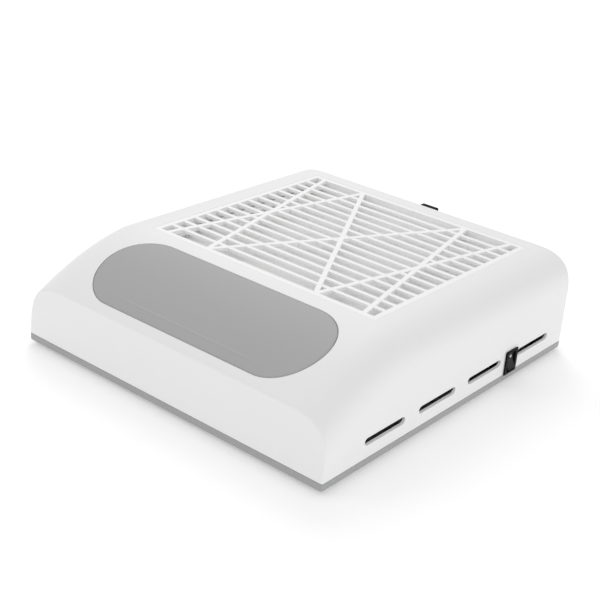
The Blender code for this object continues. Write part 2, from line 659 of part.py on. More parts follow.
def make_bay():
    outer = BAY_HALF + BAY_WALL
    near = BAY_NEAR - BAY_WALL
    bay = boxes("filter_bay", WHITE, ((-outer, outer), (near, BAY_FAR), (BAY_BOTTOM, BAY_TOP)))
    rim = GRILLE_HALF + BAY_FLANGE - GRILLE_BORDER / 2
    unite(bay, boxes("bay_flange", None, ((-rim, rim), (near - 0.002, GRILLE_FAR + 0.003),
                                          (BAY_TOP - BAY_WALL, BAY_TOP))))
    ears = []
    for x, y in EAR_PLACES:
        s = math.copysign(1, x)
        ears.append((sorted((s * (outer - 0.001), x + s * 0.004)), (y - 0.005, y + 0.005),
                     (EAR_BOTTOM, EAR_TOP)))
    unite(bay, boxes("bay_ears", None, *ears))
    unite(bay, cylinders("bay_collar", None, INLET_RADIUS + COLLAR_WALL,
                         (BLADE_TOP + COLLAR_CLEARANCE, BAY_BOTTOM + BAY_WALL / 2), [(0, FAN_Y)],
                         segments=32))
    cut(bay, boxes("bay_inside", None, ((-BAY_HALF, BAY_HALF), (BAY_NEAR, BAY_FAR - BAY_WALL),
                                        (BAY_FLOOR, BAY_TOP + FAR_OUT))))
    cut(bay, boxes("bay_mouth", None, ((-BAY_HALF, BAY_HALF), (BAY_FAR - 2 * BAY_WALL, BAY_FAR + FAR_OUT),
                                       (FACE_BOTTOM - GAP, BAY_TOP + FAR_OUT))))
    unite(bay, boxes("bay_runners", None, *[
        (sorted((s * (BAY_HALF - RUNNER_WIDTH), s * (BAY_HALF + BAY_WALL / 2))),
         (BAY_NEAR - BAY_WALL / 2, BAY_FAR - BAY_WALL / 2), (BAY_FLOOR - BAY_WALL / 2, DRAWER_BOTTOM - GAP))
        for s in (-1, 1)]))
    cut(bay, boxes("runner_end", None, ((-BAY_HALF, BAY_HALF), (BAY_FAR - 0.003, BAY_FAR + FAR_OUT),
                                        (FACE_BOTTOM - GAP, DRAWER_BOTTOM + GAP))))
    cut(bay, boxes("bay_rear_step", None, ((-HALF_WIDTH, HALF_WIDTH), (REAR - REAR_FILLET - GAP, REAR),
                                           (TOP - REAR_FILLET - GAP, TOP))))
    cut(bay, cylinders("bay_inlet", None, INLET_RADIUS, (BAY_BOTTOM - FAR_OUT, BAY_FLOOR + FAR_OUT / 4),
                       [(0, FAN_Y)], segments=32))
    cut(bay, cylinders("bay_ear_holes", None, SCREW_SHANK + GAP, (EAR_BOTTOM - 0.001, EAR_TOP + 0.001),
                       EAR_PLACES, segments=12))
    cut(bay, cylinders("bay_peg_holes", None, PEG_RADIUS + GAP,
                       (PANEL_BOTTOM - PEG_LENGTH - GAP, BAY_TOP + FAR_OUT), PEG_PLACES, segments=8))
    names = ("left_front", "left_rear", "right_front", "right_rear")
    for centre, name in zip(EAR_PLACES, names):
        screw(f"bay_screw_{name}", centre, EAR_BOTTOM - GAP, EAR_TOP + 0.007)
    make_guard()


def ring_profile(inner, outer, low, high):
    return [(outer, high), (outer, low), (inner, low), (inner, high)]


def make_guard():
    low = BAY_FLOOR + GAP
    high = low + GUARD_HEIGHT
    outer = INLET_RADIUS + GUARD_RIM
    guard = turned("finger_guard", WHITE, ring_profile(INLET_RADIUS - 0.001, outer, low, high),
                   (0, FAN_Y), 24)
    for i, radius in enumerate(GUARD_RINGS):
        unite(guard, turned(f"guard_ring_{i}", None,
                            ring_profile(radius - 0.001, radius + 0.001, low, high), (0, FAN_Y), 18))
    for i in range(3):
        bar = boxes(f"guard_bar_{i}", None, ((-INLET_RADIUS - 0.001, INLET_RADIUS + 0.001),
                                             (-0.001, 0.001), (low, high)))
        bar.location = (0, FAN_Y, 0)
        bar.rotation_euler = (0, 0, math.pi * i / 3)
        unite(guard, bar)


# ---- fan and motor ---------------------------------------------------------------------
def make_fan():
    bore = SHAFT_RADIUS + GAP
    hub = 0.007
    roof = CUP_TOP - FAN_PLATE
    profile = [(hub, CUP_TOP + 0.005), (hub, CUP_TOP), (CUP_RADIUS, CUP_TOP),
               (CUP_RADIUS, FAN_TOP_OF_PLATE), (FAN_RADIUS, FAN_TOP_OF_PLATE),
               (FAN_RADIUS, FAN_BOTTOM), (CUP_RADIUS - FAN_PLATE, FAN_BOTTOM),
               (CUP_RADIUS - FAN_PLATE, roof), (hub - 0.001, roof), (hub - 0.001, roof - 0.0015),
               (bore, roof - 0.0015), (bore, CUP_TOP + 0.005)]
    fan = turned("impeller", WHITE, profile, (0, FAN_Y), 27)
    blades = bmesh.new()
    for i in range(BLADE_COUNT):
        add_blade(blades, 2 * math.pi * i / BLADE_COUNT)
    tool = piece("fan_blades", mesh_from("fan_blades", blades), None)
    tool.location = (0, FAN_Y, 0)
    unite(fan, tool)
    unite(fan, turned("fan_shroud", None, ring_profile(SHROUD_INNER, FAN_RADIUS, BLADE_TOP - 0.0002,
                                                       BLADE_TOP + 0.0016), (0, FAN_Y), 27))
    nut = cylinders("impeller_nut", STEEL, 0.0045, (CUP_TOP + 0.005 + GAP, CUP_TOP + 0.0082),
                    [(0, FAN_Y)], segments=6)
    cut(nut, cylinders("nut_bore", None, bore, (CUP_TOP, CUP_TOP + FAR_OUT), [(0, FAN_Y)]))


def add_blade(bm, turn):
    """A backward-curved blade: a bent strip standing on the back plate."""
    steps = 3
    lean = math.radians(38)
    inner = []
    outer = []
    for i in range(steps + 1):
        t = i / steps
        r = BLADE_INNER + (FAN_RADIUS - 0.001 - BLADE_INNER) * t
        a = turn - lean * t * t
        half = BLADE_THICKNESS / 2 / r
        inner.append((r * math.cos(a - half), r * math.sin(a - half), FAN_TOP_OF_PLATE - 0.0005))
        outer.append((r * math.cos(a + half), r * math.sin(a + half), FAN_TOP_OF_PLATE - 0.0005))
    add_prism(bm, inner + outer[::-1], (0, 0, BLADE_TOP - FAN_TOP_OF_PLATE + 0.0005))


def make_motor():
    here = (0, FAN_Y)
    clear = SHAFT_RADIUS + 0.001
    seat = BEARING_RADIUS + GAP
    collar = seat + 0.0015
    inside = MOTOR_RADIUS - MOTOR_WALL
    roof = MOTOR_TOP - MOTOR_WALL
    depth = BEARING_WIDTH + GAP + 0.0002
    turned("motor_housing", STEEL, [
        (clear, MOTOR_TOP), (MOTOR_RADIUS, MOTOR_TOP), (MOTOR_RADIUS, MOTOR_BOTTOM),
        (inside, MOTOR_BOTTOM), (inside, roof), (collar, roof), (collar, roof - depth),
        (seat, roof - depth), (seat, roof), (clear, roof)], here, 20)
    cap_top = MOTOR_BOTTOM + 0.0015
    rim = inside - GAP - 0.0001
    turned("motor_end_cap", STEEL, [
        (collar, cap_top + depth), (collar, cap_top), (rim, cap_top), (rim, MOTOR_BOTTOM),
        (clear, MOTOR_BOTTOM), (clear, cap_top), (seat, cap_top), (seat, cap_top + depth)], here, 20)
    bore = SHAFT_RADIUS + GAP
    turned("bearing_upper", STEEL, ring_profile(bore, BEARING_RADIUS, roof - GAP - BEARING_WIDTH,
                                                roof - GAP), here, 16)
    turned("bearing_lower", STEEL, ring_profile(bore, BEARING_RADIUS, cap_top + GAP,
                                                cap_top + GAP + BEARING_WIDTH), here, 16)
    low = cap_top + depth + 0.0015
    high = roof - depth - 0.0015
    turned("motor_rotor", DARK_STEEL, ring_profile(bore, 0.010, low, high), here, 20)
    stator = turned("motor_stator", COPPER, ring_profile(0.0108, inside - GAP, low, high), here, 20)
    gaps = bmesh.new()
    for i in range(6):
        made = add_box(gaps, (0.009, inside - 0.003), (-0.0012, 0.0012), (low - 0.001, high + 0.001))
        bmesh.ops.rotate(gaps, matrix=Matrix.Rotation(math.pi * i / 3, 3, "Z"), verts=made)
    tool = piece("stator_gaps", mesh_from("stator_gaps", gaps), None)
    tool.location = (0, FAN_Y, 0)
    cut(stator, tool)
    cylinders("motor_shaft", STEEL, SHAFT_RADIUS, (MOTOR_BOTTOM + 0.0005, SHAFT_TOP), [here], segments=20)
    bracket = cylinders("motor_bracket", STEEL, BRACKET_RADIUS, (BRACKET_BOTTOM, BRACKET_TOP), [here],
                        segments=36)
    cut(bracket, cylinders("bracket_centre", None, 0.008, (0, BRACKET_TOP + FAR_OUT), [here]))
    neck = 0.004
    cut(bracket, cylinders("bracket_holes", None, neck + GAP, (0, BRACKET_TOP + FAR_OUT), MOUNT_PLACES))
    for i, centre in enumerate(MOUNT_PLACES):
        flange = neck + 0.0022
        turned(f"motor_grommet_{i + 1}", RUBBER, [
            (flange, BRACKET_TOP + 0.0023), (flange, BRACKET_TOP + GAP), (neck, BRACKET_TOP + GAP),
            (neck, BRACKET_BOTTOM - GAP), (flange, BRACKET_BOTTOM - GAP), (flange, POST_TOP + GAP),
            (0.0019, POST_TOP + GAP), (0.0019, BRACKET_TOP + 0.0023)], centre, 12)
        screw(f"motor_screw_{i + 1}", centre, BRACKET_TOP + 0.0026, FLOOR_TOP + 0.001)


# ---- electrics -------------------------------------------------------------------------
def make_board():
    half = BOARD_SIZE[0] / 2
    board = boxes("driver_board", BOARD_GREEN, ((-half, half), (BOARD_NEAR, BOARD_FAR),
                                                (BOARD_BOTTOM, BOARD_TOP)))
    cut(board, cylinders("board_holes", None, 0.0013, (BOARD_BOTTOM - FAR_OUT, BOARD_TOP + FAR_OUT),
                         BOARD_POSTS, segments=8))
    for i, centre in enumerate(BOARD_POSTS):
        screw(f"board_screw_{i + 1}", centre, BOARD_TOP + GAP, FLOOR_TOP + 0.002, 0.0008, (0.0024, 0.0016))
    base = BOARD_TOP + GAP
    middle = (BOARD_NEAR + BOARD_FAR) / 2
    boxes("transformer", DARK_STEEL, ((-0.026, -0.006), (middle - 0.009, middle + 0.009),
                                      (base, base + 0.015)))
    cylinders("capacitor", BLACK, 0.005, (base, base + 0.016), [(0.004, middle + 0.004)], segments=20)
    fins = boxes("heat_sink", ALUMINIUM, ((0.013, 0.027), (middle - 0.012, middle + 0.004),
                                          (base, base + 0.002)))
    for i in range(4):
        x = 0.013 + 0.004 * i
        unite(fins, boxes(f"fin_{i}", None, ((x, x + 0.002), (middle - 0.012, middle + 0.004),
                                             (base + 0.001, base + 0.013))))
    boxes("board_connector", PAPER, ((half - 0.008, half - 0.001), (middle - 0.013, middle - 0.003),
                                     (base, base + 0.007)))
    return base, middle, half


def make_switch():
    wide = SWITCH_FACE[0] / 2
    tall = SWITCH_FACE[1] / 2
    y0, z0 = SWITCH_Y, SWITCH_Z
    body = boxes("switch_body", BLACK, ((SWITCH_FRONT - SWITCH_FLANGE, SWITCH_FRONT),
                                        (y0 - wide, y0 + wide), (z0 - tall, z0 + tall)))
    back = (SWITCH_BODY[0] / 2, SWITCH_BODY[1] / 2)
    unite(body, boxes("switch_back", None, ((SWITCH_REAR, SWITCH_FRONT - SWITCH_FLANGE / 2),
                                            (y0 - back[0], y0 + back[0]), (z0 - back[1], z0 + back[1]))))
    well = (ROCKER_SIZE[0] / 2 + 0.0004, ROCKER_SIZE[1] / 2 + 0.0012)
    cut(body, boxes("switch_well", None, ((SWITCH_REAR + 0.002, SWITCH_FRONT + FAR_OUT),
                                          (y0 - well[0], y0 + well[0]), (z0 - well[1], z0 + well[1]))))
    pin = 0.001
    cut(body, cylinders("switch_pin_holes", None, pin + GAP, (y0 - 0.02, y0 + 0.02), [(ROCKER_X, z0)],
                        axis="Y", segments=12))
    end = ROCKER_SIZE[1] / 2
    outline = [(-0.0015, -end + 0.001), (0.005, -end), (0.0038, 0), (0.005, end), (-0.0015, end - 0.001),
               (-0.003, 0)]
    bm = bmesh.new()
    add_prism(bm, [(u, -ROCKER_SIZE[0] / 2, w) for u, w in outline], (0, ROCKER_SIZE[0], 0))
    rocker = piece("switch_rocker", mesh_from("switch_rocker", bm), BLACK)
    rocker.location = (ROCKER_X, y0, z0)
    rocker.rotation_euler = (0, ROCKER_REST, 0)
    unite(rocker, cylinders("rocker_pin", None, pin, (y0 - back[0] + 0.0001, y0 + back[0] - 0.0001),
                            [(ROCKER_X, z0)], axis="Y", segments=12))
    for name, drop in (("upper", 0.004), ("lower", -0.004)):
        boxes(f"switch_terminal_{name}", STEEL, ((SWITCH_REAR - GAP - 0.0065, SWITCH_REAR - GAP),
                                                 (y0 - 0.0024, y0 + 0.0024),
                                                 (z0 + drop - 0.0004, z0 + drop + 0.0004)))


def make_socket():
    x0, z0 = SOCKET_PLACE, SOCKET_Z
    flange = (SOCKET_FLANGE[0] / 2, SOCKET_FLANGE[1] / 2)
    back = (SOCKET_BODY[0] / 2, SOCKET_BODY[1] / 2)
    socket = boxes("power_socket", BLACK, ((x0 - flange[0], x0 + flange[0]), (REAR + GAP, SOCKET_FACE),
                                           (z0 - flange[1], z0 + flange[1])))
    unite(socket, boxes("socket_back", None, ((x0 - back[0], x0 + back[0]),
                                              (SOCKET_REAR, SOCKET_FACE - SOCKET_FLANGE[2] / 2),
                                              (z0 - back[1], z0 + back[1]))))
    bm = bmesh.new()
    outline = [(x0 + u, SOCKET_FACE - SOCKET_DEPTH, z0 + v) for u, v in stadium(*SOCKET_MOUTH)]
    add_prism(bm, outline, (0, SOCKET_DEPTH + FAR_OUT, 0))
    cut(socket, piece("socket_mouth", mesh_from("socket_mouth", bm), None))
    pins = [(x0 - PIN_SPACING / 2, z0), (x0 + PIN_SPACING / 2, z0)]
    cut(socket, cylinders("socket_pin_holes", None, PIN_RADIUS + GAP, (SOCKET_REAR - FAR_OUT, SOCKET_FACE),
                          pins, axis="Y", segments=12))
    for name, pin in zip(("left", "right"), pins):
        cylinders(f"socket_pin_{name}", STEEL, PIN_RADIUS, (SOCKET_REAR - 0.004, SOCKET_FACE - 0.002),
                  [pin], axis="Y", segments=12)
    return pins


def make_leads(pins, base, middle, half):
    """The three internal leads, each along its own route over the pan's floor."""
    low = FLOOR_TOP + 0.004
    behind = SWITCH_REAR - GAP - 0.0065 - 0.0015
    side = BOSS_X - 0.0165
    pin_x, pin_z = pins[1]
    start = SOCKET_REAR - 0.0045 - LEAD_RADIUS
    tube("lead_socket_to_switch", CABLE, smooth_route([
        (pin_x, start, pin_z), (pin_x + 0.001, start - 0.006, pin_z - 0.003),
        (side - 0.002, start - 0.016, low + 0.002), (side - 0.003, SWITCH_Y + 0.03, low),
        (side - 0.006, SWITCH_Y + 0.013, low + 0.002), (behind - 0.005, SWITCH_Y + 0.002, SWITCH_Z - 0.004),
        (behind, SWITCH_Y, SWITCH_Z - 0.004)]), LEAD_RADIUS)
    tube("lead_switch_to_board", CABLE, smooth_route([
        (behind, SWITCH_Y, SWITCH_Z + 0.004), (behind - 0.006, SWITCH_Y - 0.004, SWITCH_Z + 0.002),
        (side - 0.012, SWITCH_Y - 0.022, low + 0.001), (side - 0.012, FAN_Y - 0.02, low),
        (side - 0.014, (FAN_Y + middle) / 2 - 0.02, low), (half + 0.022, middle + 0.004, low + 0.003),
        (half + 0.007, middle - 0.007, base + 0.003), (half, middle - 0.008, base + 0.0035)]), LEAD_RADIUS)
    tube("lead_board_to_motor", CABLE, smooth_route([
        (-0.016, BOARD_FAR + 0.0015, base + 0.001), (-0.015, BOARD_FAR + 0.01, base - 0.003),
        (-0.008, (BOARD_FAR + FAN_Y - MOTOR_RADIUS) / 2, low + 0.005),
        (-0.002, FAN_Y - MOTOR_RADIUS - 0.012, BRACKET_TOP + 0.0035),
        (0, FAN_Y - MOTOR_RADIUS - 0.0006, BRACKET_TOP + 0.004)]), LEAD_RADIUS)


clear_scene()
PARTS = collection("nail_dust_collector")
TOOLS = collection("cutters")
HOME = bpy.data.objects.new("body_centre", None)
PARTS.objects.link(HOME)
HOME.location = (0, -(GAP + TAB_REACH) / 2, 0)   # the tab sticks out behind, so the box centre moves

WHITE = finish_of("gloss_white_plastic", (0.86, 0.86, 0.86), 0.32)
GREY = finish_of("grey_plastic", (0.33, 0.33, 0.33), 0.45)
PAD_GREY = finish_of("palm_rest_rubber", (0.40, 0.40, 0.41), 0.6)
BLACK = finish_of("black_plastic", (0.012, 0.012, 0.013), 0.4)
RUBBER = finish_of("rubber", (0.03, 0.03, 0.03), 0.85)
PAPER = finish_of("filter_paper", (0.8, 0.8, 0.78), 0.9)
STEEL = finish_of("steel", (0.55, 0.55, 0.56), 0.3, 1.0)
DARK_STEEL = finish_of("dark_steel", (0.2, 0.2, 0.21), 0.5, 1.0)
COPPER = finish_of("copper_winding", (0.55, 0.25, 0.12), 0.4, 1.0)
ALUMINIUM = finish_of("aluminium", (0.75, 0.76, 0.77), 0.35, 1.0)
BOARD_GREEN = finish_of("circuit_board", (0.02, 0.15, 0.06), 0.5)
CABLE = finish_of("cable_sheath", (0.05, 0.05, 0.05), 0.6)

make_shell()
make_pan()
pad_block("palm_rest_pad", PAD_GREY, 0, -PAD_RECESS + GAP, PAD_PROUD)
make_grille()
make_filter()
make_bay()
make_fan()
make_motor()
board_base, board_middle, board_half = make_board()
make_switch()
socket_pins = make_socket()
make_leads(socket_pins, board_base, board_middle, board_half)
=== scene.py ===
"""The looks of a desktop nail dust collector, built round its fixed frame of CAD bodies."""

import json
import math

import bmesh
import bpy
from mathutils import Matrix, Vector


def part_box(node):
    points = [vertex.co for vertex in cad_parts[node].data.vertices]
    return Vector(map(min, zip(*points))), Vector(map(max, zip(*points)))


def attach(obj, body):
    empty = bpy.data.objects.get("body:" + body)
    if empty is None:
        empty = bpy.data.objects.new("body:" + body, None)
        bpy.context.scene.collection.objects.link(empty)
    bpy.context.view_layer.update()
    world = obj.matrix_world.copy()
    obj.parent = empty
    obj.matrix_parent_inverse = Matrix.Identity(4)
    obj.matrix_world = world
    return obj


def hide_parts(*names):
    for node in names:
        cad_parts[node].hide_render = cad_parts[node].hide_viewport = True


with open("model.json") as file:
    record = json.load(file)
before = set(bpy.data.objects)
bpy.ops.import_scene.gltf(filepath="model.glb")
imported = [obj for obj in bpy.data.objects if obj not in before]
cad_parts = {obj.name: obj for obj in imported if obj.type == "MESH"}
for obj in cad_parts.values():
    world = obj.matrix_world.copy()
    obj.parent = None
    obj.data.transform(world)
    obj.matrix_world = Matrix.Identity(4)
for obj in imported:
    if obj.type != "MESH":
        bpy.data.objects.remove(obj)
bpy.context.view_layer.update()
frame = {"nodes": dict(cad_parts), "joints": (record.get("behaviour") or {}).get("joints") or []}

# ---- sizes in metres ----
WALL = 0.0028                # shell wall
SIDE_DRAFT = 0.01
SHOULDER_WIDTH = 0.032       # quarter superellipse between the side wall and the top
SHOULDER_DROP = 0.030
SHOULDER_POWER = 2.8
FRONT_EDGE_HEIGHT = 0.0444
FRONT_LEAN = 0.0024
SLOPE_RUN = 0.074
SLOPE_BULGE = 0.0044
REAR_FILLET = 0.0057
FRONT_CREASE = 0.0015        # radius of the edge between the front face and the slope
SEAM = 0.0001                # visible seam between panels that snap together
WINDOW_SEAM = 3 * SEAM       # seam round the drawer's face
LAP = 0.001                  # how far a joined solid reaches into its neighbour
GAP = 0.0003                 # clearance between loose pieces

SLAT_COUNT = 14
SLAT_PITCH = 0.01144
SLAT_WIDTH = 0.0034
SLAT_DEPTH = 0.0024
SLAT_SUNK = 0.0002
BRACE_WIDTH = 0.0036
BRACE_DEPTH = 0.0027
BRACE_SUNK = 0.00002         # keeps the braces' tops off the frame's
BRACE_OUTER = 0.086
BRACE_INNER = 0.0475
GRILLE_BORDER = 0.0043
SKIRT = 0.0012               # rib under the grille frame, round the opening
PEG_RADIUS = 0.0009          # snap pegs under the grille frame
PEG_OUT = 0.0023             # pegs outside the opening
PEG_PLACES = (-0.07, 0, 0.07)

SLOT_LENGTH = 0.041
SLOT_HEIGHT = 0.006
SLOT_LEVEL = 0.017
SLOT_PLACES = (0.0593, 0.1153, 0.1713, 0.2343)
SLOT_REACH = 0.002           # how far the slot cutters run past the wall
SLOT_WALL = 0.0020           # wall left round a slot, thinned from inside
SLOT_SILL = 0.0008           # how far the lower lip of a slot rises through the wall
SLOT_MARGIN = 0.002          # thinned wall past a slot's ends and below it
SLOT_HEADROOM = 0.006        # thinned wall above a slot
PAINTED_SHADE_TOP = 0.035         # below this height the inside of the shell is painted near-black as shade; above it plain white

PAD_RECESS = (0.0005, 0.0015)   # recess for the palm rest: margin and depth
PAD_UNDER = 0.0012           # the pad's underside below the slope
SWITCH_OVERLAP = (0.0015, 0.0004)   # switch rim beyond its opening: along and up
SOCKET_OVERLAP = (0.002, 0.001)     # the same for the socket

POST_HALF = 0.0045           # screw posts of the shell
POST_HEIGHT = 0.018

TRAY_CORNER = 0.002          # front corners of the tray, in plan
TRAY_FLOOR = 0.0022
TRAY_RIM = 0.0016            # wall of the rim that enters the shell
TRAY_EDGES = (0.0016, 0.0002)   # rounding of its lower and upper edges
CASE_BOSS = (0.0055, 0.0036, 0.0018)   # radii: outside, well and screw hole
CASE_BOSS_ROOF = 0.003       # material over the well
SWITCH_NOTCH = (0.012, 0.0006)   # depth of the rim's notch and its clearance each side
MOTOR_BOSS = (0.005, 0.0017)
BOARD_BOSS = (0.003, 0.0011)

PLEAT_COUNT = 46
CLOTH_THICKNESS = 0.0006
CLOTH_BAR = 0.002            # width of the bars that hold the pleats' ends
TAB_STEM = (0.004, 0.002)    # half width and half height
TAB_GROOVES = (0.0025, 0.0022)   # first groove above the tab's lower edge, and their pitch

SWITCH_FLANGE = 0.0012
SWITCH_CORE = (0.0054, 0.008)    # half width and half height of the snap-in body
SWITCH_WELL = (0.0046, 0.0074)
ROCKER_HALF = 0.0042
ROCKER_END = 0.0062
ROCKER_PIN = 0.001
ROCKER_REST = math.radians(-10)

SOCKET_CORE = (0.0095, 0.005)
SOCKET_MOUTH = 0.0036        # radius of each half of the figure of eight
SOCKET_HOLE = 0.0014
SOCKET_PITCH = 0.0043        # mouths from the middle
SOCKET_DEPTH = 0.0105
SOCKET_WAIST = 0.0030

FAN_RADIUS = 0.074
FAN_PLATE = 0.002            # back plate's thickness
FAN_CUP = 0.028
FAN_HUB = 0.007
FAN_HUB_RISE = 0.005         # hub above the cup
FAN_BORE = 0.0023
FAN_INLET = 0.054            # inner radius of the shroud
BLADE_COUNT = 9
BLADE_HEIGHT = 0.0178
BLADE_ROOT = 0.040
BLADE_THICKNESS = 0.0014
BLADE_SWEEP = math.radians(38)
GUARD_RIM = 0.0055           # radial width of the guard's outer ring
GUARD_RINGS = (0.023, 0.037)
THREAD_PITCH = 0.0008
THREAD_DEPTH = 0.0003
FOOT_TREAD = 0.001           # rounding of a foot's lower edge
FOOT_DISH = 0.0003

# ---- places read from the frame ----
pan_low, pan_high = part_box("base_pan")
shell_low, shell_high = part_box("top_shell")
grille_low, grille_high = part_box("grille_panel")
pad_low, pad_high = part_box("palm_rest_pad")
media_low, media_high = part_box("filter_media")
drawer_low, drawer_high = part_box("filter_drawer")
tab_low, tab_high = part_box("filter_pull_tab")
switch_low, switch_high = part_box("switch_body")
socket_low, socket_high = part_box("power_socket")
fan_low, fan_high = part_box("impeller")
guard_low, guard_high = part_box("finger_guard")

HALF_WIDTH = pan_high.x
FRONT = pan_low.y
REAR = pan_high.y
PAN_BOTTOM = pan_low.z
SHELL_BOTTOM = shell_low.z
TOP = shell_high.z
FRONT_EDGE = PAN_BOTTOM + FRONT_EDGE_HEIGHT
SLOPE_FRONT = FRONT + FRONT_LEAN
PAD_RADIUS = (pad_high.y - pad_low.y) / 2
PAD_MIDDLE = (pad_high.y + pad_low.y) / 2
PAD_STRAIGHT = pad_high.x - PAD_RADIUS
GRILLE_MIDDLE = (grille_low.y + grille_high.y) / 2
OPEN_HALF = grille_high.x - GRILLE_BORDER
OPEN_NEAR = grille_low.y + GRILLE_BORDER
OPEN_FAR = grille_high.y - GRILLE_BORDER
FAR_OUT = 0.02               # how far cutting bodies run past what they cut
THROUGH = 3 * WALL           # how far cutting bodies start inside the shell
CORNERS = [f"{side}_{end}" for side in ("left", "right") for end in ("front", "rear")]


def joint_place(name):
    """Where a joint's axis stands in the frame."""
    return Vector(next(j for j in frame["joints"] if j["name"] == name)["pos_m"])


def in_plan(name):
    """A node's lowest and highest corners, and its centre in plan."""
    low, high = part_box(name)
    return low, high, ((low.x + high.x) / 2, (low.y + high.y) / 2)


ROCKER_AXIS = joint_place("rocker_tilt")
FAN_AXIS = joint_place("fan_spin")


# ---- mesh helpers ----
def show(name, bm, *finishes, sharp=32):
    """Link a bmesh as a smooth-shaded object with sharp edges past an angle in degrees."""
    bmesh.ops.recalc_face_normals(bm, faces=bm.faces)
    mesh = bpy.data.meshes.new(name)
    bm.to_mesh(mesh)
    bm.free()
    for finish in finishes:
        mesh.materials.append(finish)
    obj = bpy.data.objects.new(name, mesh)
    bpy.context.scene.collection.objects.link(obj)
    shade(obj, sharp)
    return obj


def shade(obj, sharp=32):
    obj.data.shade_smooth()
    obj.data.set_sharp_from_angle(angle=math.radians(sharp))


def settle(obj, sharp=32):
    """Bake an object's modifiers into its mesh and clear away the cutting bodies it used."""
    graph = bpy.context.evaluated_depsgraph_get()
    mesh = bpy.data.meshes.new_from_object(obj.evaluated_get(graph))
    used = [m.object for m in obj.modifiers if m.type == "BOOLEAN"]
    obj.modifiers.clear()
    obj.data = mesh
    for cutter in used:
        bpy.data.objects.remove(cutter)
    shade(obj, sharp)


def combine(obj, bm, operation):
    """Cut or join a bmesh as a hidden body."""
    other = show("tool", bm)
    other.hide_render = True
    step = obj.modifiers.new(operation, "BOOLEAN")
    step.operation = operation
    step.object = other
    step.solver = "EXACT"


def cut(obj, bm):
    combine(obj, bm, "DIFFERENCE")


def unite(obj, bm):
    combine(obj, bm, "UNION")


def even_shading(obj):
    """Weigh corner normals by face area, so flat faces stay flat beside narrow fillets."""
    weigh = obj.modifiers.new("even", "WEIGHTED_NORMAL")
    weigh.keep_sharp = True


def add_box(bm, x, y, z, soft=0.0, segments=2):
    """A box between two values on each axis, its edges rounded by soft."""
    part = bmesh.new()
    verts = bmesh.ops.create_cube(part, size=1)["verts"]
    bmesh.ops.scale(part, vec=(x[1] - x[0], y[1] - y[0], z[1] - z[0]), verts=verts)
    middle = Vector(((x[0] + x[1]) / 2, (y[0] + y[1]) / 2, (z[0] + z[1]) / 2))
    bmesh.ops.translate(part, vec=middle, verts=verts)
    if soft:
        round_edges(part, part.edges, soft, segments)
    absorb(bm, part)


def absorb(bm, part):
    """Move all of part into bm."""
    holder = bpy.data.meshes.new("holder")
    part.to_mesh(holder)
    part.free()
    bm.from_mesh(holder)
    bpy.data.meshes.remove(holder)


def round_edges(bm, edges, offset, segments=2):
    bmesh.ops.bevel(bm, geom=list(edges), offset=offset, segments=segments, affect="EDGES",
                    profile=0.5, material=-1, clamp_overlap=True)


def box_body(x, y, z, soft=0.0, segments=2):
    bm = bmesh.new()
    add_box(bm, x, y, z, soft, segments)
    return bm


def rod(bm, radius, low, high, centre, axis="Z", segments=32):
    """A capped cylinder along an axis; centre gives the other two values."""
    made = bmesh.ops.create_cone(bm, cap_ends=True, segments=segments, radius1=radius,
                                 radius2=radius, depth=high - low)["verts"]
    middle = (low + high) / 2
    a, b = centre
    turn, place = {
        "Z": (Matrix.Identity(3), (a, b, middle)),
        "Y": (Matrix.Rotation(math.pi / 2, 3, "X"), (a, middle, b)),
        "X": (Matrix.Rotation(math.pi / 2, 3, "Y"), (middle, a, b)),
    }[axis]
    bmesh.ops.rotate(bm, matrix=turn, verts=made)
    bmesh.ops.translate(bm, vec=place, verts=made)


def rod_body(*args, **options):
    bm = bmesh.new()
    rod(bm, *args, **options)
    return bm


def lathe(bm, profile, centre, steps=96):
    """Spin an outline of (radius, height) points about a vertical axis; a closed outline
    that stays off the axis gives a ring."""
    part = bmesh.new()
    verts = [part.verts.new((r, 0, z)) for r, z in profile]
    edges = [part.edges.new((a, b)) for a, b in zip(verts, verts[1:])]
    if profile[0][0] > 0 and profile[-1][0] > 0:
        edges.append(part.edges.new((verts[-1], verts[0])))
    bmesh.ops.spin(part, geom=verts + edges, axis=(0, 0, 1), cent=(0, 0, 0), steps=steps,
                   angle=2 * math.pi, use_merge=True)
    bmesh.ops.remove_doubles(part, verts=part.verts, dist=0.000001)
    bmesh.ops.translate(part, vec=(centre[0], centre[1], 0), verts=part.verts)
    absorb(bm, part)


def arc(centre, radius, start, end, steps=4):
    """Points of an arc in a profile's plane, from one angle to another in degrees."""
    return [(centre[0] + radius * math.cos(a), centre[1] + radius * math.sin(a))
            for a in (math.radians(start + (end - start) * i / steps) for i in range(steps + 1))]


def slab(outline, offset, soft=0.0, segments=2):
    """A flat outline swept by an offset."""
    bm = bmesh.new()
    face = bm.faces.new([bm.verts.new(p) for p in outline])
    swept = bmesh.ops.extrude_face_region(bm, geom=[face])
    bmesh.ops.translate(bm, vec=offset, verts=new_verts(swept))
    bmesh.ops.recalc_face_normals(bm, faces=bm.faces)
    if soft:
        round_edges(bm, bm.edges, soft, segments)
    return bm


def stadium(length, height, steps=12):
    """Outline of a slot with round ends, centred, as (along, up) points."""
    r = height / 2
    straight = length / 2 - r
    turns = [math.pi * i / steps for i in range(steps + 1)]
    right = [(straight + r * math.sin(t), -r * math.cos(t)) for t in turns]
    return right + [(-u, -v) for u, v in right]


def fit_grid(bm, across, along, place):
    """A grid whose vertex (i, j) goes to place(i, j)."""
    verts = bmesh.ops.create_grid(bm, x_segments=across, y_segments=along, size=1)["verts"]
    for v in verts:
        v.co = place(round((v.co.x + 1) / 2 * across), round((v.co.y + 1) / 2 * along))


def new_verts(swept):
    """The vertices among what an extrusion returned."""
    return [v for v in swept["geom"] if isinstance(v, bmesh.types.BMVert)]


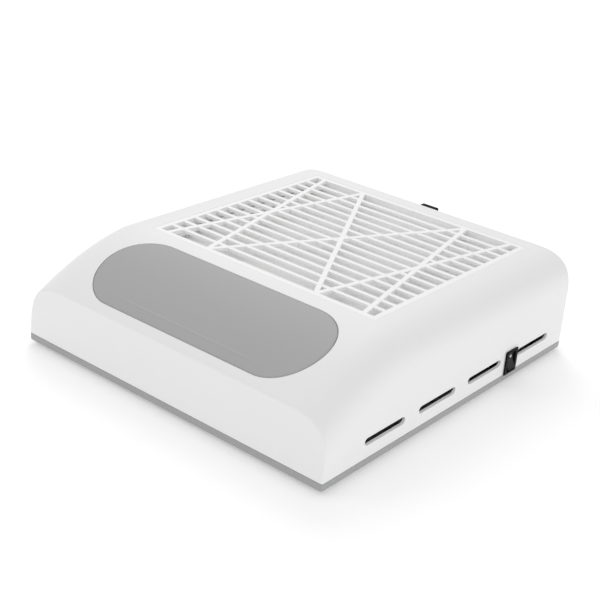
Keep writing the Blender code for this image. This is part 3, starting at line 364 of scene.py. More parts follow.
# ---- finishes ----
def add_node(made, kind, values):
    """A new node of a material, with its inputs set."""
    node = made.node_tree.nodes.new(kind)
    for key, value in values.items():
        node.inputs[key].default_value = value
    return node


def emboss(made, height, distance, strength=1.0):
    """Raise a material's surface by a texture's value."""
    bump = add_node(made, "ShaderNodeBump", {"Strength": strength, "Distance": distance})
    shader = made.node_tree.nodes["Principled BSDF"]
    made.node_tree.links.new(height, bump.inputs["Height"])
    made.node_tree.links.new(bump.outputs["Normal"], shader.inputs["Normal"])


def finish(name, colour, roughness, mottle=(0.02, 30), grain=None, rough_spread=0.06,
           metal=0.0, coat=0.0, stretch=(1, 1, 1), sheen=0.0, shine=0.5):
    """A moulded or milled surface: faint mottling in its colour, uneven gloss and a fine grain.
    mottle is (strength, scale) and grain is (depth, scale)."""
    made = bpy.data.materials.new(name)
    made.use_nodes = True
    nodes = made.node_tree.nodes
    link = made.node_tree.links.new
    shader = nodes["Principled BSDF"]
    for key, value in (("Metallic", metal), ("Coat Weight", coat), ("Coat Roughness", 0.12),
                       ("Sheen Weight", sheen), ("Specular IOR Level", shine)):
        shader.inputs[key].default_value = value
    place = nodes.new("ShaderNodeTexCoord")
    turn = add_node(made, "ShaderNodeMapping", {"Scale": stretch})
    link(place.outputs["Object"], turn.inputs["Vector"])
    cloud = add_node(made, "ShaderNodeTexNoise", {"Scale": mottle[1], "Detail": 4})
    link(turn.outputs["Vector"], cloud.inputs["Vector"])
    tint = nodes.new("ShaderNodeMix")
    tint.data_type = "RGBA"
    dark = [c * (1 - mottle[0]) for c in colour]
    light = [min(1, c * (1 + mottle[0])) for c in colour]
    tint.inputs["A"].default_value = (*dark, 1)
    tint.inputs["B"].default_value = (*light, 1)
    link(cloud.outputs["Fac"], tint.inputs["Factor"])
    link(tint.outputs["Result"], shader.inputs["Base Color"])
    gloss = add_node(made, "ShaderNodeMapRange", {"To Min": roughness - rough_spread / 2,
                                                  "To Max": roughness + rough_spread / 2})
    link(cloud.outputs["Fac"], gloss.inputs["Value"])
    link(gloss.outputs["Result"], shader.inputs["Roughness"])
    if grain:
        fine = add_node(made, "ShaderNodeTexNoise", {"Scale": grain[1], "Detail": 3})
        link(turn.outputs["Vector"], fine.inputs["Vector"])
        emboss(made, fine.outputs["Fac"], grain[0], 0.5)
    return made


def filter_cloth():
    """Pleated non-woven sheet: short crossed fibres over white, with shade painted in, darker down
    towards the pleats' valleys.
    """
    made = finish("filter_cloth", (0.97, 0.97, 0.965), 0.9, mottle=(0.03, 180), sheen=0.1)
    nodes = made.node_tree.nodes
    link = made.node_tree.links.new
    place = nodes["Texture Coordinate"]
    split = nodes.new("ShaderNodeSeparateXYZ")
    link(place.outputs["Object"], split.inputs["Vector"])
    # Painted shade: the colour falls to 0.78 of itself at the bottom of the pleats.
    valley_shade = add_node(made, "ShaderNodeMapRange", {
        "From Min": media_low.z, "From Max": media_high.z - 0.001, "To Min": 0.78, "To Max": 1.0})
    link(split.outputs["Z"], valley_shade.inputs["Value"])
    shaded = nodes.new("ShaderNodeVectorMath")
    shaded.operation = "SCALE"
    link(nodes["Mix"].outputs["Result"], shaded.inputs["Vector"])
    link(valley_shade.outputs["Result"], shaded.inputs["Scale"])
    link(shaded.outputs["Vector"], nodes["Principled BSDF"].inputs["Base Color"])
    both = nodes.new("ShaderNodeMath")
    both.operation = "ADD"
    for socket, slant in zip(both.inputs, (0.5, -0.7)):
        turn = add_node(made, "ShaderNodeMapping", {"Rotation": (0, 0, slant), "Scale": (1, 12, 1)})
        link(place.outputs["Object"], turn.inputs["Vector"])
        fibres = add_node(made, "ShaderNodeTexNoise", {"Scale": 220, "Detail": 5})
        link(turn.outputs["Vector"], fibres.inputs["Vector"])
        link(fibres.outputs["Fac"], socket)
    emboss(made, both.outputs["Value"], 0.0002, 0.6)
    return made


def wound_copper():
    """Enamelled wire, wound in fine horizontal turns."""
    made = finish("wound_copper", (0.62, 0.27, 0.12), 0.35, metal=1.0, mottle=(0.12, 90))
    turns = add_node(made, "ShaderNodeTexWave", {"Scale": 420, "Distortion": 1.5})
    turns.bands_direction = "Z"
    place = made.node_tree.nodes["Texture Coordinate"]
    made.node_tree.links.new(place.outputs["Object"], turns.inputs["Vector"])
    emboss(made, turns.outputs["Fac"], 0.0003)
    return made


def solder_mask():
    """Green lacquer with slightly raised copper tracks under it."""
    made = finish("solder_mask", (0.02, 0.16, 0.06), 0.38, mottle=(0.08, 60), coat=0.3)
    nodes = made.node_tree.nodes
    link = made.node_tree.links.new
    tracks = add_node(made, "ShaderNodeTexBrick", {
        "Scale": 260, "Color1": (0.02, 0.17, 0.07, 1), "Color2": (0.02, 0.13, 0.05, 1),
        "Mortar": (0.05, 0.26, 0.10, 1), "Mortar Size": 0.06})
    link(nodes["Texture Coordinate"].outputs["Object"], tracks.inputs["Vector"])
    link(tracks.outputs["Color"], nodes["Principled BSDF"].inputs["Base Color"])
    emboss(made, tracks.outputs["Fac"], 0.0001)
    return made


SHELL_WHITE = finish("shell_white", (0.88, 0.88, 0.885), 0.5, mottle=(0.006, 14),
                     grain=(0.00002, 700), shine=0.3)
# Painted shade: near-black for the lower inside of the shell, whose real plastic is white.
SHELL_PAINTED_SHADE = finish("shell_painted_shade", (0.02, 0.02, 0.02), 0.8, mottle=(0.05, 50),
                      grain=(0.00008, 900))
GRILLE_WHITE = finish("grille_white", (0.955, 0.955, 0.955), 0.5, mottle=(0.006, 20),
                      grain=(0.00002, 900), shine=0.3)
BAND_GREY = finish("band_grey", (0.37, 0.37, 0.375), 0.46, mottle=(0.03, 60), grain=(0.00008, 1800))
PALM_SILICONE = finish("palm_silicone", (0.425, 0.425, 0.428), 0.52, mottle=(0.015, 25),
                       grain=(0.00003, 1600), shine=0.25)
INNER_WHITE = finish("inner_white", (0.83, 0.83, 0.825), 0.5, mottle=(0.015, 40),
                     grain=(0.00005, 1100))
FILTER_CLOTH = filter_cloth()
BLACK_NYLON = finish("black_nylon", (0.006, 0.006, 0.0065), 0.45, mottle=(0.2, 90),
                     grain=(0.00004, 2200), shine=0.08)
ROCKER_BLACK = finish("rocker_black", (0.012, 0.012, 0.013), 0.4, mottle=(0.15, 80),
                      grain=(0.00001, 2000), shine=0.2)
# Painted highlight: grey for the raised dot that stands in for the highlight on the rocker.
PAINTED_HIGHLIGHT_GREY = finish("painted_highlight_grey", (0.5, 0.5, 0.5), 0.35, mottle=(0.02, 300), grain=(0.00001, 2500))
TAB_RUBBER = finish("tab_rubber", (0.006, 0.006, 0.006), 0.6, mottle=(0.2, 150),
                    grain=(0.00006, 2000), shine=0.05)
FOOT_RUBBER = finish("foot_rubber", (0.05, 0.05, 0.05), 0.85, mottle=(0.2, 120),
                     grain=(0.0001, 1500))
ZINC_STEEL = finish("zinc_steel", (0.60, 0.60, 0.61), 0.3, metal=1.0, mottle=(0.06, 200),
                    grain=(0.00003, 900), rough_spread=0.14)
DRAWN_STEEL = finish("drawn_steel", (0.56, 0.56, 0.57), 0.28, metal=1.0, mottle=(0.05, 160),
                     grain=(0.00003, 600), stretch=(1, 1, 14))
CORE_STEEL = finish("core_steel", (0.10, 0.10, 0.11), 0.5, metal=0.6, mottle=(0.2, 400),
                    grain=(0.0002, 500), stretch=(0.2, 0.2, 6))
WOUND_COPPER = wound_copper()
SOLDER_MASK = solder_mask()
SHRINK_SLEEVE = finish("shrink_sleeve", (0.02, 0.02, 0.04), 0.3, mottle=(0.2, 90),
                       grain=(0.00003, 700))
FIN_ALUMINIUM = finish("fin_aluminium", (0.74, 0.75, 0.76), 0.36, metal=1.0, mottle=(0.04, 90),
                       grain=(0.00004, 500), stretch=(8, 1, 1))
NYLON_NATURAL = finish("nylon_natural", (0.82, 0.81, 0.76), 0.45, mottle=(0.03, 150),
                       grain=(0.00004, 1500))
CABLE_PVC = finish("cable_pvc", (0.03, 0.03, 0.032), 0.5, mottle=(0.15, 200), grain=(0.00004, 1500))


# ---- housing ----
def crown(y):
    """Height of the body's top surface at a place along its depth."""
    t = min(max((y - SLOPE_FRONT) / SLOPE_RUN, 0), 1)
    return FRONT_EDGE + (TOP - FRONT_EDGE) * t + 4 * SLOPE_BULGE * t * (1 - t)


def body_section(crest, inset, steps=22, flat=10):
    """(x, z) points of the body's cross-section, from the right foot over to the left."""
    reach = SHOULDER_WIDTH - inset
    rise = SHOULDER_DROP - inset
    spring = crest - rise
    foot = HALF_WIDTH - inset - SIDE_DRAFT * (SHELL_BOTTOM - PAN_BOTTOM)
    wall = HALF_WIDTH - inset - SIDE_DRAFT * (spring - PAN_BOTTOM)
    half = [(foot, SHELL_BOTTOM)]
    for i in range(steps):
        a = math.pi / 2 * i / steps
        half.append((wall - reach + reach * math.cos(a) ** (2 / SHOULDER_POWER),
                     spring + rise * math.sin(a) ** (2 / SHOULDER_POWER)))
    level = [((wall - reach) * (1 - i / flat), crest) for i in range(flat)]
    right = half + level
    return right + [(0, crest)] + [(-x, z) for x, z in reversed(right)]


def body_stations(slope_steps=30, fillet_steps=8):
    """Cross-sections from front to rear, each a list of places."""
    lean = FRONT_LEAN / (FRONT_EDGE - SHELL_BOTTOM)
    stations = [[Vector((x, FRONT + lean * (z - SHELL_BOTTOM), z))
                 for x, z in body_section(FRONT_EDGE, 0)]]
    for i in range(1, slope_steps + 1):
        y = SLOPE_FRONT + SLOPE_RUN * i / slope_steps
        stations.append([Vector((x, y, z)) for x, z in body_section(crown(y), 0)])
    for i in range(fillet_steps + 1):
        a = math.pi / 2 * i / fillet_steps
        inset = REAR_FILLET * (1 - math.cos(a))
        y = REAR - REAR_FILLET * (1 - math.sin(a))
        stations.append([Vector((x, y, z)) for x, z in body_section(TOP - inset, inset)])
    return stations


def cap(bm, station, verts):
    """Close one end of the loft with a face, its vertices in the station's order."""
    order = {v: station.index(min(station, key=lambda p: (p - v.co).length)) for v in verts}
    return bm.faces.new(sorted(verts, key=order.get))


def shell_skin():
    """The glossy housing: a lofted skin with a wall, its window, slots and recesses; the lower
    inside of the wall is painted near-black as shade.
    """
    stations = body_stations()
    bm = bmesh.new()
    across = len(stations[0]) - 1
    along = len(stations) - 1
    fit_grid(bm, across, along, lambda i, j: stations[j][i])
    face = cap(bm, stations[0], [v for v in bm.verts if v.co.y < SLOPE_FRONT + 0.0001])
    cap(bm, stations[-1], [v for v in bm.verts if v.co.y > REAR - 0.00001])
    bmesh.ops.recalc_face_normals(bm, faces=bm.faces)
    if face.normal.y > 0:
        bmesh.ops.reverse_faces(bm, faces=bm.faces)
    crease = [e for e in face.edges if len(e.link_faces) == 2]
    round_edges(bm, crease, FRONT_CREASE, 6)
    mesh = bpy.data.meshes.new("shell_skin")
    bm.to_mesh(mesh)
    bm.free()
    for paint in (SHELL_WHITE, SHELL_PAINTED_SHADE):
        mesh.materials.append(paint)
    skin = bpy.data.objects.new("shell_skin", mesh)
    bpy.context.scene.collection.objects.link(skin)
    # The wall's inner faces take the second finish, the painted shade.
    hollow = skin.modifiers.new("wall", "SOLIDIFY")
    hollow.thickness = WALL
    hollow.offset = -1
    hollow.use_even_offset = True
    hollow.material_offset = 1
    add_shell_bosses(skin)
    cut_slots(skin)
    cut(skin, box_body((grille_low.x - SEAM, grille_high.x + SEAM),
                       (grille_low.y - SEAM, grille_high.y + SEAM),
                       (TOP - THROUGH, TOP + FAR_OUT)))
    cut(skin, box_body((drawer_low.x - WINDOW_SEAM, drawer_high.x + WINDOW_SEAM),
                       (REAR - THROUGH, REAR + FAR_OUT),
                       (drawer_low.z - WINDOW_SEAM, drawer_high.z + WINDOW_SEAM)))
    cut(skin, pad_sheet(PAD_RECESS[0], -PAD_RECESS[1], FAR_OUT))
    along_lap, up_lap = SWITCH_OVERLAP
    cut(skin, box_body((HALF_WIDTH - THROUGH, HALF_WIDTH + FAR_OUT),
                       (switch_low.y + along_lap, switch_high.y - along_lap),
                       (switch_low.z + up_lap, switch_high.z - up_lap)))
    along_lap, up_lap = SOCKET_OVERLAP
    cut(skin, box_body((socket_low.x + along_lap, socket_high.x - along_lap),
                       (REAR - THROUGH, REAR + FAR_OUT),
                       (socket_low.z + up_lap, socket_high.z - up_lap)))
    settle(skin, 38)
    # Faces high in the shell go back to the white finish; the painted shade stays only low on the
    # inner wall.
    for face in skin.data.polygons:
        if face.center.z > PAINTED_SHADE_TOP:
            face.material_index = 0
    even_shading(skin)
    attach(skin, "housing")
    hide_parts("top_shell")


def cut_slots(skin):
    """Stadium slots through both side walls, each with a sill that slopes down to the outside."""
    sweep = WALL + 2 * SLOT_REACH
    level = PAN_BOTTOM + SLOT_LEVEL
    bottom = level - SLOT_HEIGHT / 2
    for side in (-1, 1):
        for place in SLOT_PLACES:
            middle = FRONT + place
            wide = sorted((side * (HALF_WIDTH - THROUGH), side * (HALF_WIDTH - SLOT_WALL)))
            cut(skin, box_body(wide, (middle - SLOT_LENGTH / 2 - SLOT_MARGIN,
                                      middle + SLOT_LENGTH / 2 + SLOT_MARGIN),
                               (bottom - SLOT_MARGIN,
                                level + SLOT_HEIGHT / 2 + SLOT_HEADROOM)))
            outline = [(side * (HALF_WIDTH + SLOT_REACH), middle + u, level + v)
                       for u, v in stadium(SLOT_LENGTH, SLOT_HEIGHT)]
            bar = slab(outline, (-side * sweep, 0, 0))
            for v in bar.verts:
                if abs(v.co.x) < HALF_WIDTH - WALL / 2:
                    below = 1 - (v.co.z - bottom) / SLOT_HEIGHT
                    v.co.z += SLOT_SILL * min(1, 2 * below) * sweep / WALL
            cut(skin, bar)


def add_shell_bosses(skin):
    """Screw posts at the corners, standing in from the side walls."""
    for corner in CORNERS:
        x, y = in_plan(f"case_screw_{corner}")[2]
        side = math.copysign(1, x)
        wide = sorted((x - side * POST_HALF, side * (HALF_WIDTH - WALL + LAP)))
        unite(skin, box_body(wide, (y - POST_HALF, y + POST_HALF),
                             (pan_high.z + GAP, pan_high.z + POST_HEIGHT)))


def pad_point(i, j, across, along, margin=0.0):
    """(x, y) of a grid point on the palm rest's stadium outline, widened by a margin."""
    a = math.pi * j / along
    u = math.sin(math.pi / 2 * (2 * i / across - 1))
    reach = PAD_RADIUS + margin
    return u * (PAD_STRAIGHT + reach * math.sin(a)), PAD_MIDDLE - reach * math.cos(a)


def pad_sheet(margin, low, high, across=36, along=40):
    """The palm rest's outline, as a closed slab that follows the slope."""
    def place(i, j):
        x, y = pad_point(i, j, across, along, margin)
        return Vector((x, y, crown(y) + low))

    bm = bmesh.new()
    fit_grid(bm, across, along, place)
    raised = bmesh.ops.extrude_face_region(bm, geom=bm.faces[:])
    bmesh.ops.translate(bm, vec=(0, 0, high - low), verts=new_verts(raised))
    return bm


def plan_block(inset, low, high, steps):
    """The body's outline in plan, set in all round, as a block with rounded upright edges."""
    bm = box_body((-HALF_WIDTH + inset, HALF_WIDTH - inset), (FRONT + inset, REAR - inset),
                  (low, high))
    for rear, radius in ((False, TRAY_CORNER), (True, REAR_FILLET)):
        upright = [e for e in bm.edges if abs(e.verts[0].co.z - e.verts[1].co.z) > 0.001
                   and (e.verts[0].co.y > 0) == rear and (e.verts[1].co.y > 0) == rear]
        round_edges(bm, upright, max(radius - inset, TRAY_CORNER), steps)
    return bm


def base_tray():
    """The grey lower housing with a rounded bottom edge, bosses and screw wells."""
    seam = SHELL_BOTTOM - GAP
    inside = PAN_BOTTOM + TRAY_FLOOR
    sunk = PAN_BOTTOM + LAP
    bm = plan_block(0, PAN_BOTTOM, seam, 8)
    lower = [e for e in bm.edges if max(v.co.z for v in e.verts) < PAN_BOTTOM + 0.0001]
    round_edges(bm, lower, TRAY_EDGES[0], 5)
    upper = [e for e in bm.edges if min(v.co.z for v in e.verts) > seam - 0.0001]
    round_edges(bm, upper, TRAY_EDGES[1], 2)
    tray = show("base_tray", bm, BAND_GREY)
    lip = WALL + 0.0004
    unite(tray, plan_block(lip, sunk, pan_high.z, 6))
    cut(tray, plan_block(lip + TRAY_RIM, inside, pan_high.z + FAR_OUT, 6))
    depth, room = SWITCH_NOTCH
    cut(tray, box_body((HALF_WIDTH - depth, HALF_WIDTH - WALL / 2),
                       (switch_low.y - room, switch_high.y + room),
                       (seam, pan_high.z + FAR_OUT)))
    for corner in CORNERS:
        place = in_plan(f"case_screw_{corner}")[2]
        outside, well, hole = CASE_BOSS
        unite(tray, rod_body(outside, sunk, pan_high.z, place, segments=40))
        cut(tray, rod_body(well, PAN_BOTTOM - FAR_OUT, pan_high.z - CASE_BOSS_ROOF, place,
                           segments=40))
        cut(tray, rod_body(hole, pan_high.z - CASE_BOSS_ROOF - LAP, pan_high.z + FAR_OUT,
                           place, segments=24))
        low, high, place = in_plan(f"foot_{corner}")
        cut(tray, rod_body((high.x - low.x) / 2 + GAP, PAN_BOTTOM - FAR_OUT, high.z + GAP,
                           place, segments=48))
    board_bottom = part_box("driver_board")[0].z
    posts = [(f"motor_grommet_{i}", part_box(f"motor_grommet_{i}")[0].z, MOTOR_BOSS, (36, 24))
             for i in (1, 2, 3)]
    posts += [(f"board_screw_{i}", board_bottom, BOARD_BOSS, (28, 16)) for i in (1, 2)]
    for name, seat, (outside, hole), steps in posts:
        place = in_plan(name)[2]
        unite(tray, rod_body(outside, sunk, seat - GAP, place, segments=steps[0]))
        cut(tray, rod_body(hole, inside, seat + FAR_OUT, place, segments=steps[1]))
    settle(tray, 38)
    even_shading(tray)
    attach(tray, "housing")
    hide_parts("base_pan")


def palm_cushion():
    """The soft pad: its top follows the slope, rolls over at the rim and carries a fine ridge."""
    across, along = 150, 180
    roll = 0.0012
    roll_drop = roll - 0.0003
    proud = 0.0002
    ridge_at = pad_low.y + 0.0068
    ridge_height, ridge_half = 0.00034, 0.0006
    apron = 0.0003           # how far the strip below the ridge lies lower

    def place(i, j):
        x, y = pad_point(i, j, across, along)
        nearest = min(max(x, -PAD_STRAIGHT), PAD_STRAIGHT)
        inside = min(max(PAD_RADIUS - math.hypot(x - nearest, y - PAD_MIDDLE), 0) / roll, 1)
        drop = roll_drop * (1 - math.sqrt(1 - (1 - inside) ** 2))
        fade = min(max((PAD_STRAIGHT + 0.01 - abs(x)) / 0.03, 0), 1)
        ridge = ridge_height * fade * math.exp(-((y - ridge_at) / ridge_half) ** 2)
        lowered = apron * fade * max(0, (ridge_at - y) / (ridge_at - pad_low.y))
        return Vector((x, y, crown(y) + proud - drop + ridge - lowered))

    bm = bmesh.new()
    fit_grid(bm, across, along, place)
    rim = [e for e in bm.edges if e.is_boundary]
    for v in new_verts(bmesh.ops.extrude_edge_only(bm, edges=rim)):
        v.co.z = crown(v.co.y) - PAD_UNDER
    bottom = [e for e in bm.edges if e.is_boundary]
    bmesh.ops.triangle_fill(bm, edges=bottom, use_beauty=True)
    pad = show("palm_cushion", bm, PALM_SILICONE, sharp=60)
    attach(pad, "housing")
    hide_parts("palm_rest_pad")


# ---- grille and filter ----
def grille_lattice():
    """The snap-in panel: a softened frame, slats across it and four crossing braces."""
    panel_bottom = TOP - WALL
    top = TOP - SLAT_SUNK
    panel = show("grille_lattice", box_body((grille_low.x, grille_high.x),
                                            (grille_low.y, grille_high.y),
                                            (panel_bottom, TOP), 0.00035, 3), GRILLE_WHITE)
    unite(panel, box_body((-OPEN_HALF - SKIRT, OPEN_HALF + SKIRT),
                          (OPEN_NEAR - SKIRT, OPEN_FAR + SKIRT),
                          (drawer_high.z, TOP - WALL / 2)))
    window = box_body((-OPEN_HALF, OPEN_HALF), (OPEN_NEAR, OPEN_FAR),
                      (panel_bottom - FAR_OUT, TOP + FAR_OUT))
    cut(panel, window)
    for i in range(SLAT_COUNT):
        y = GRILLE_MIDDLE + SLAT_PITCH * (i - (SLAT_COUNT - 1) / 2)
        unite(panel, box_body((-OPEN_HALF - LAP, OPEN_HALF + LAP),
                              (y - SLAT_WIDTH / 2, y + SLAT_WIDTH / 2),
                              (top - SLAT_DEPTH, top), 0.0004, 3))
    ends = (-BRACE_OUTER, -BRACE_INNER, BRACE_INNER, BRACE_OUTER)
    reach = OPEN_FAR - GRILLE_MIDDLE + LAP
    for flip in (1, -1):
        for a, b in zip(ends, ends[1:]):
            start = Vector((a, GRILLE_MIDDLE + flip * reach))
            end = Vector((b, GRILLE_MIDDLE - flip * reach))
            side = Vector((start.y - end.y, end.x - start.x)).normalized() * BRACE_WIDTH / 2
            outline = [(c.x, c.y, TOP - BRACE_DEPTH)
                       for c in (start + side, start - side, end - side, end + side)]
            unite(panel, slab(outline, (0, 0, BRACE_DEPTH - BRACE_SUNK), 0.0003, 3))
    for x in (-OPEN_HALF - PEG_OUT, OPEN_HALF + PEG_OUT):
        for along in PEG_PLACES:
            unite(panel, rod_body(PEG_RADIUS, grille_low.z, TOP - WALL / 2,
                                  (x, GRILLE_MIDDLE + along), segments=20))
    settle(panel, 40)
    even_shading(panel)
    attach(panel, "housing")
    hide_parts("grille_panel")


def pleated_filter():
    """The filter sheet: round-crested pleats that run across the drawer."""
    steps, across = 8, 24
    along = PLEAT_COUNT * steps
    width, length = media_high.x - media_low.x, media_high.y - media_low.y
    depth = media_high.z - media_low.z - CLOTH_THICKNESS

    def place(i, j):
        swing = 0.5 - 0.5 * math.cos(2 * math.pi * j / steps)
        return Vector((media_low.x + width * i / across, media_low.y + length * j / along,
                       media_low.z + depth * swing ** 0.85))

    bm = bmesh.new()
    fit_grid(bm, across, along, place)
    sheet = show("pleated_filter", bm, FILTER_CLOTH, sharp=75)
    body = sheet.modifiers.new("thickness", "SOLIDIFY")
    body.thickness = CLOTH_THICKNESS
    body.offset = 1 if sheet.data.polygons[0].normal.z > 0 else -1
    settle(sheet, 75)
    bars = bmesh.new()
    bars.from_mesh(sheet.data)
    for x in ((media_low.x, media_low.x + CLOTH_BAR), (media_high.x - CLOTH_BAR, media_high.x)):
        add_box(bars, x, (media_low.y, media_high.y), (media_low.z, media_high.z), 0.0005, 2)
    bars.to_mesh(sheet.data)
    bars.free()
    shade(sheet, 75)
    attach(sheet, "filter")
    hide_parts("filter_media")


def pull_tab():
    """The rubber tab behind the drawer, with finger ribs on its rear face."""
    stem_z = (drawer_low.z + drawer_high.z) / 2
    wide, tall = TAB_STEM
    tab = show("pull_tab", box_body((tab_low.x, tab_high.x), (REAR + GAP, tab_high.y),
                                    (tab_low.z, tab_high.z), 0.0011, 4), TAB_RUBBER)
    unite(tab, box_body((-wide, wide), (tab_low.y, REAR + 0.002),
                        (stem_z - tall, stem_z + tall), 0.0003, 2))
    for i in range(4):
        z = tab_low.z + TAB_GROOVES[0] + TAB_GROOVES[1] * i
        cut(tab, rod_body(0.0006, tab_low.x + 0.002, tab_high.x - 0.002,
                          (tab_high.y + 0.0002, z), axis="X", segments=16))
    settle(tab, 40)
    even_shading(tab)
    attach(tab, "filter")
    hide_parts("filter_pull_tab")


# ---- switch and socket ----
def rocker_switch():
    """The switch: a bezel with a well, and a saddle-shaped rocker on its pin."""
    flange_x = switch_high.x - SWITCH_FLANGE
    bezel = show("switch_bezel", box_body((flange_x, switch_high.x), (switch_low.y, switch_high.y),
                                          (switch_low.z, switch_high.z), 0.0005, 4), BLACK_NYLON)
    middle_y = (switch_low.y + switch_high.y) / 2
    middle_z = (switch_low.z + switch_high.z) / 2
    pivot = (ROCKER_AXIS.x, ROCKER_AXIS.z)

    def block(x, half):
        return box_body(x, (middle_y - half[0], middle_y + half[0]),
                        (middle_z - half[1], middle_z + half[1]), 0.0003, 2)

    def pin(radius, half):
        return rod_body(radius, middle_y - half, middle_y + half, pivot, axis="Y", segments=24)

    unite(bezel, block((switch_low.x, flange_x + 0.0004), SWITCH_CORE))
    cut(bezel, block((switch_low.x + 0.002, switch_high.x + FAR_OUT), SWITCH_WELL))
    cut(bezel, pin(ROCKER_PIN + GAP, FAR_OUT))
    settle(bezel, 40)
    even_shading(bezel)
    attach(bezel, "housing")
    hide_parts("switch_body")

    rest = Matrix.Rotation(ROCKER_REST, 3, "Y")
    rows = [-ROCKER_END + 2 * ROCKER_END * i / 14 for i in range(15)]
    face = [(0.0038 + 0.0012 * (t / ROCKER_END) ** 2, t) for t in rows]
    back = [(-0.0015, ROCKER_END - 0.001), (-0.003, 0), (-0.0015, -ROCKER_END + 0.001)]
    body = slab([(u, -ROCKER_HALF, w) for u, w in face + back], (0, 2 * ROCKER_HALF, 0))
    tips = [e for e in body.edges if abs(abs(e.verts[0].co.y) - ROCKER_HALF) < 1e-6
            and abs(e.verts[0].co.y - e.verts[1].co.y) < 1e-6
            and min(e.verts[0].co.x, e.verts[1].co.x) > 0]
    round_edges(body, tips, 0.0004, 3)
    bmesh.ops.rotate(body, matrix=rest, verts=body.verts)
    bmesh.ops.translate(body, vec=(pivot[0], middle_y, pivot[1]), verts=body.verts)
    rocker = show("rocker_paddle", body, ROCKER_BLACK)
    unite(rocker, pin(ROCKER_PIN, 0.0053))
    settle(rocker, 40)
    even_shading(rocker)
    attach(rocker, "rocker")
    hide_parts("switch_rocker")

    # Painted highlight: a raised grey dot on the rocker's upper face stands in for the highlight
    # its curved face catches.
    dot = bmesh.new()
    rise, sunk = 0.00012, 0.0005
    lathe(dot, [(0, rise), (0.0008, rise), (0.0014, 0), (0.0014, -sunk), (0, -sunk)], (0, 0), 24)
    bmesh.ops.rotate(dot, matrix=Matrix.Rotation(math.radians(90 - 4) + ROCKER_REST, 3, "Y"),
                     verts=dot.verts)
    place = rest @ Vector((0.0042, 0, 0.0034)) + Vector((pivot[0], middle_y, pivot[1]))
    bmesh.ops.translate(dot, vec=place, verts=dot.verts)
    highlight_dot = show("rocker_painted_highlight", dot, PAINTED_HIGHLIGHT_GREY, sharp=50)
    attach(highlight_dot, "rocker")


def mains_socket():
    """The figure-of-eight inlet in the rear wall."""
    middle_x = (socket_low.x + socket_high.x) / 2
    middle_z = (socket_low.z + socket_high.z) / 2
    wide, tall = SOCKET_CORE
    floor = socket_high.y - SOCKET_DEPTH
    inlet = show("mains_inlet", box_body((socket_low.x, socket_high.x),
                                         (REAR + 0.0001, socket_high.y),
                                         (socket_low.z, socket_high.z), 0.0006, 4), BLACK_NYLON)
    unite(inlet, box_body((middle_x - wide, middle_x + wide), (socket_low.y, REAR + 0.0008),
                          (middle_z - tall, middle_z + tall), 0.0003, 2))
    for x in (middle_x - SOCKET_PITCH, middle_x + SOCKET_PITCH):
        cut(inlet, rod_body(SOCKET_MOUTH, floor, socket_high.y + FAR_OUT, (x, middle_z),
                            axis="Y", segments=40))
        cut(inlet, rod_body(SOCKET_HOLE, socket_low.y - FAR_OUT, floor + 0.0005,
                            (x, middle_z), axis="Y", segments=20))
    cut(inlet, box_body((middle_x - SOCKET_PITCH, middle_x + SOCKET_PITCH),
                        (floor, socket_high.y + FAR_OUT),
                        (middle_z - SOCKET_WAIST, middle_z + SOCKET_WAIST)))
    settle(inlet, 40)
    even_shading(inlet)
    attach(inlet, "housing")
    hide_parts("power_socket")


# ---- fan ----
def fan_wheel():
    """The centrifugal wheel: a back plate with its motor cup, nine curved blades and a shroud."""
    here = (FAN_AXIS.x, FAN_AXIS.y)
    radius = FAN_RADIUS
    cup, hub, bore = FAN_CUP, FAN_HUB, FAN_BORE
    plate = fan_low.z + FAN_PLATE
    cup_top = fan_high.z - FAN_HUB_RISE
    roof = cup_top - FAN_PLATE
    outline = [(bore, fan_high.z)]
    outline += arc((hub - 0.0008, fan_high.z - 0.0008), 0.0008, 90, 0)
    outline += arc((hub + 0.0015, cup_top + 0.0015), 0.0015, 180, 270)
    outline += arc((cup - 0.002, cup_top - 0.002), 0.002, 90, 0)
    outline += arc((cup + 0.0025, plate + 0.0025), 0.0025, 180, 270)
    outline += arc((radius - 0.001, plate - 0.001), 0.001, 90, -90, 6)
    outline += arc((cup - 0.001, fan_low.z + 0.001), 0.001, 270, 180)
    outline += arc((cup - 0.003, roof - 0.001), 0.001, 0, 90)
    outline += [(hub - 0.001, roof), (hub - 0.001, roof - 0.0015), (bore, roof - 0.0015)]
    bm = bmesh.new()
    lathe(bm, outline, here, 108)
    wheel = show("fan_wheel", bm, INNER_WHITE)
    blades = bmesh.new()
    for i in range(BLADE_COUNT):
        absorb(blades, fan_blade(2 * math.pi * i / BLADE_COUNT, plate))
    bmesh.ops.translate(blades, vec=(*here, 0), verts=blades.verts)
    unite(wheel, blades)
    half = 0.0009            # half the shroud's thickness
    middle = plate + BLADE_HEIGHT + 0.0007
    shroud = bmesh.new()
    lathe(shroud, arc((FAN_INLET + half, middle), half, 270, 90, 6)
          + arc((radius - half, middle), half, 90, -90, 6), here, 108)
    unite(wheel, shroud)
    settle(wheel, 40)
    even_shading(wheel)
    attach(wheel, "fan")
    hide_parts("impeller")


def fan_blade(turn, foot, steps=12):
    """A backward-curved blade that stands on the back plate."""
    sunk = 0.0005
    near, far = [], []
    for i in range(steps + 1):
        t = i / steps
        r = BLADE_ROOT + (FAN_RADIUS - 0.001 - BLADE_ROOT) * t
        a = turn - BLADE_SWEEP * t * t
        half = BLADE_THICKNESS / 2 / r
        near.append((r * math.cos(a - half), r * math.sin(a - half), foot - sunk))
        far.append((r * math.cos(a + half), r * math.sin(a + half), foot - sunk))
    return slab(near + far[::-1], (0, 0, BLADE_HEIGHT + sunk))


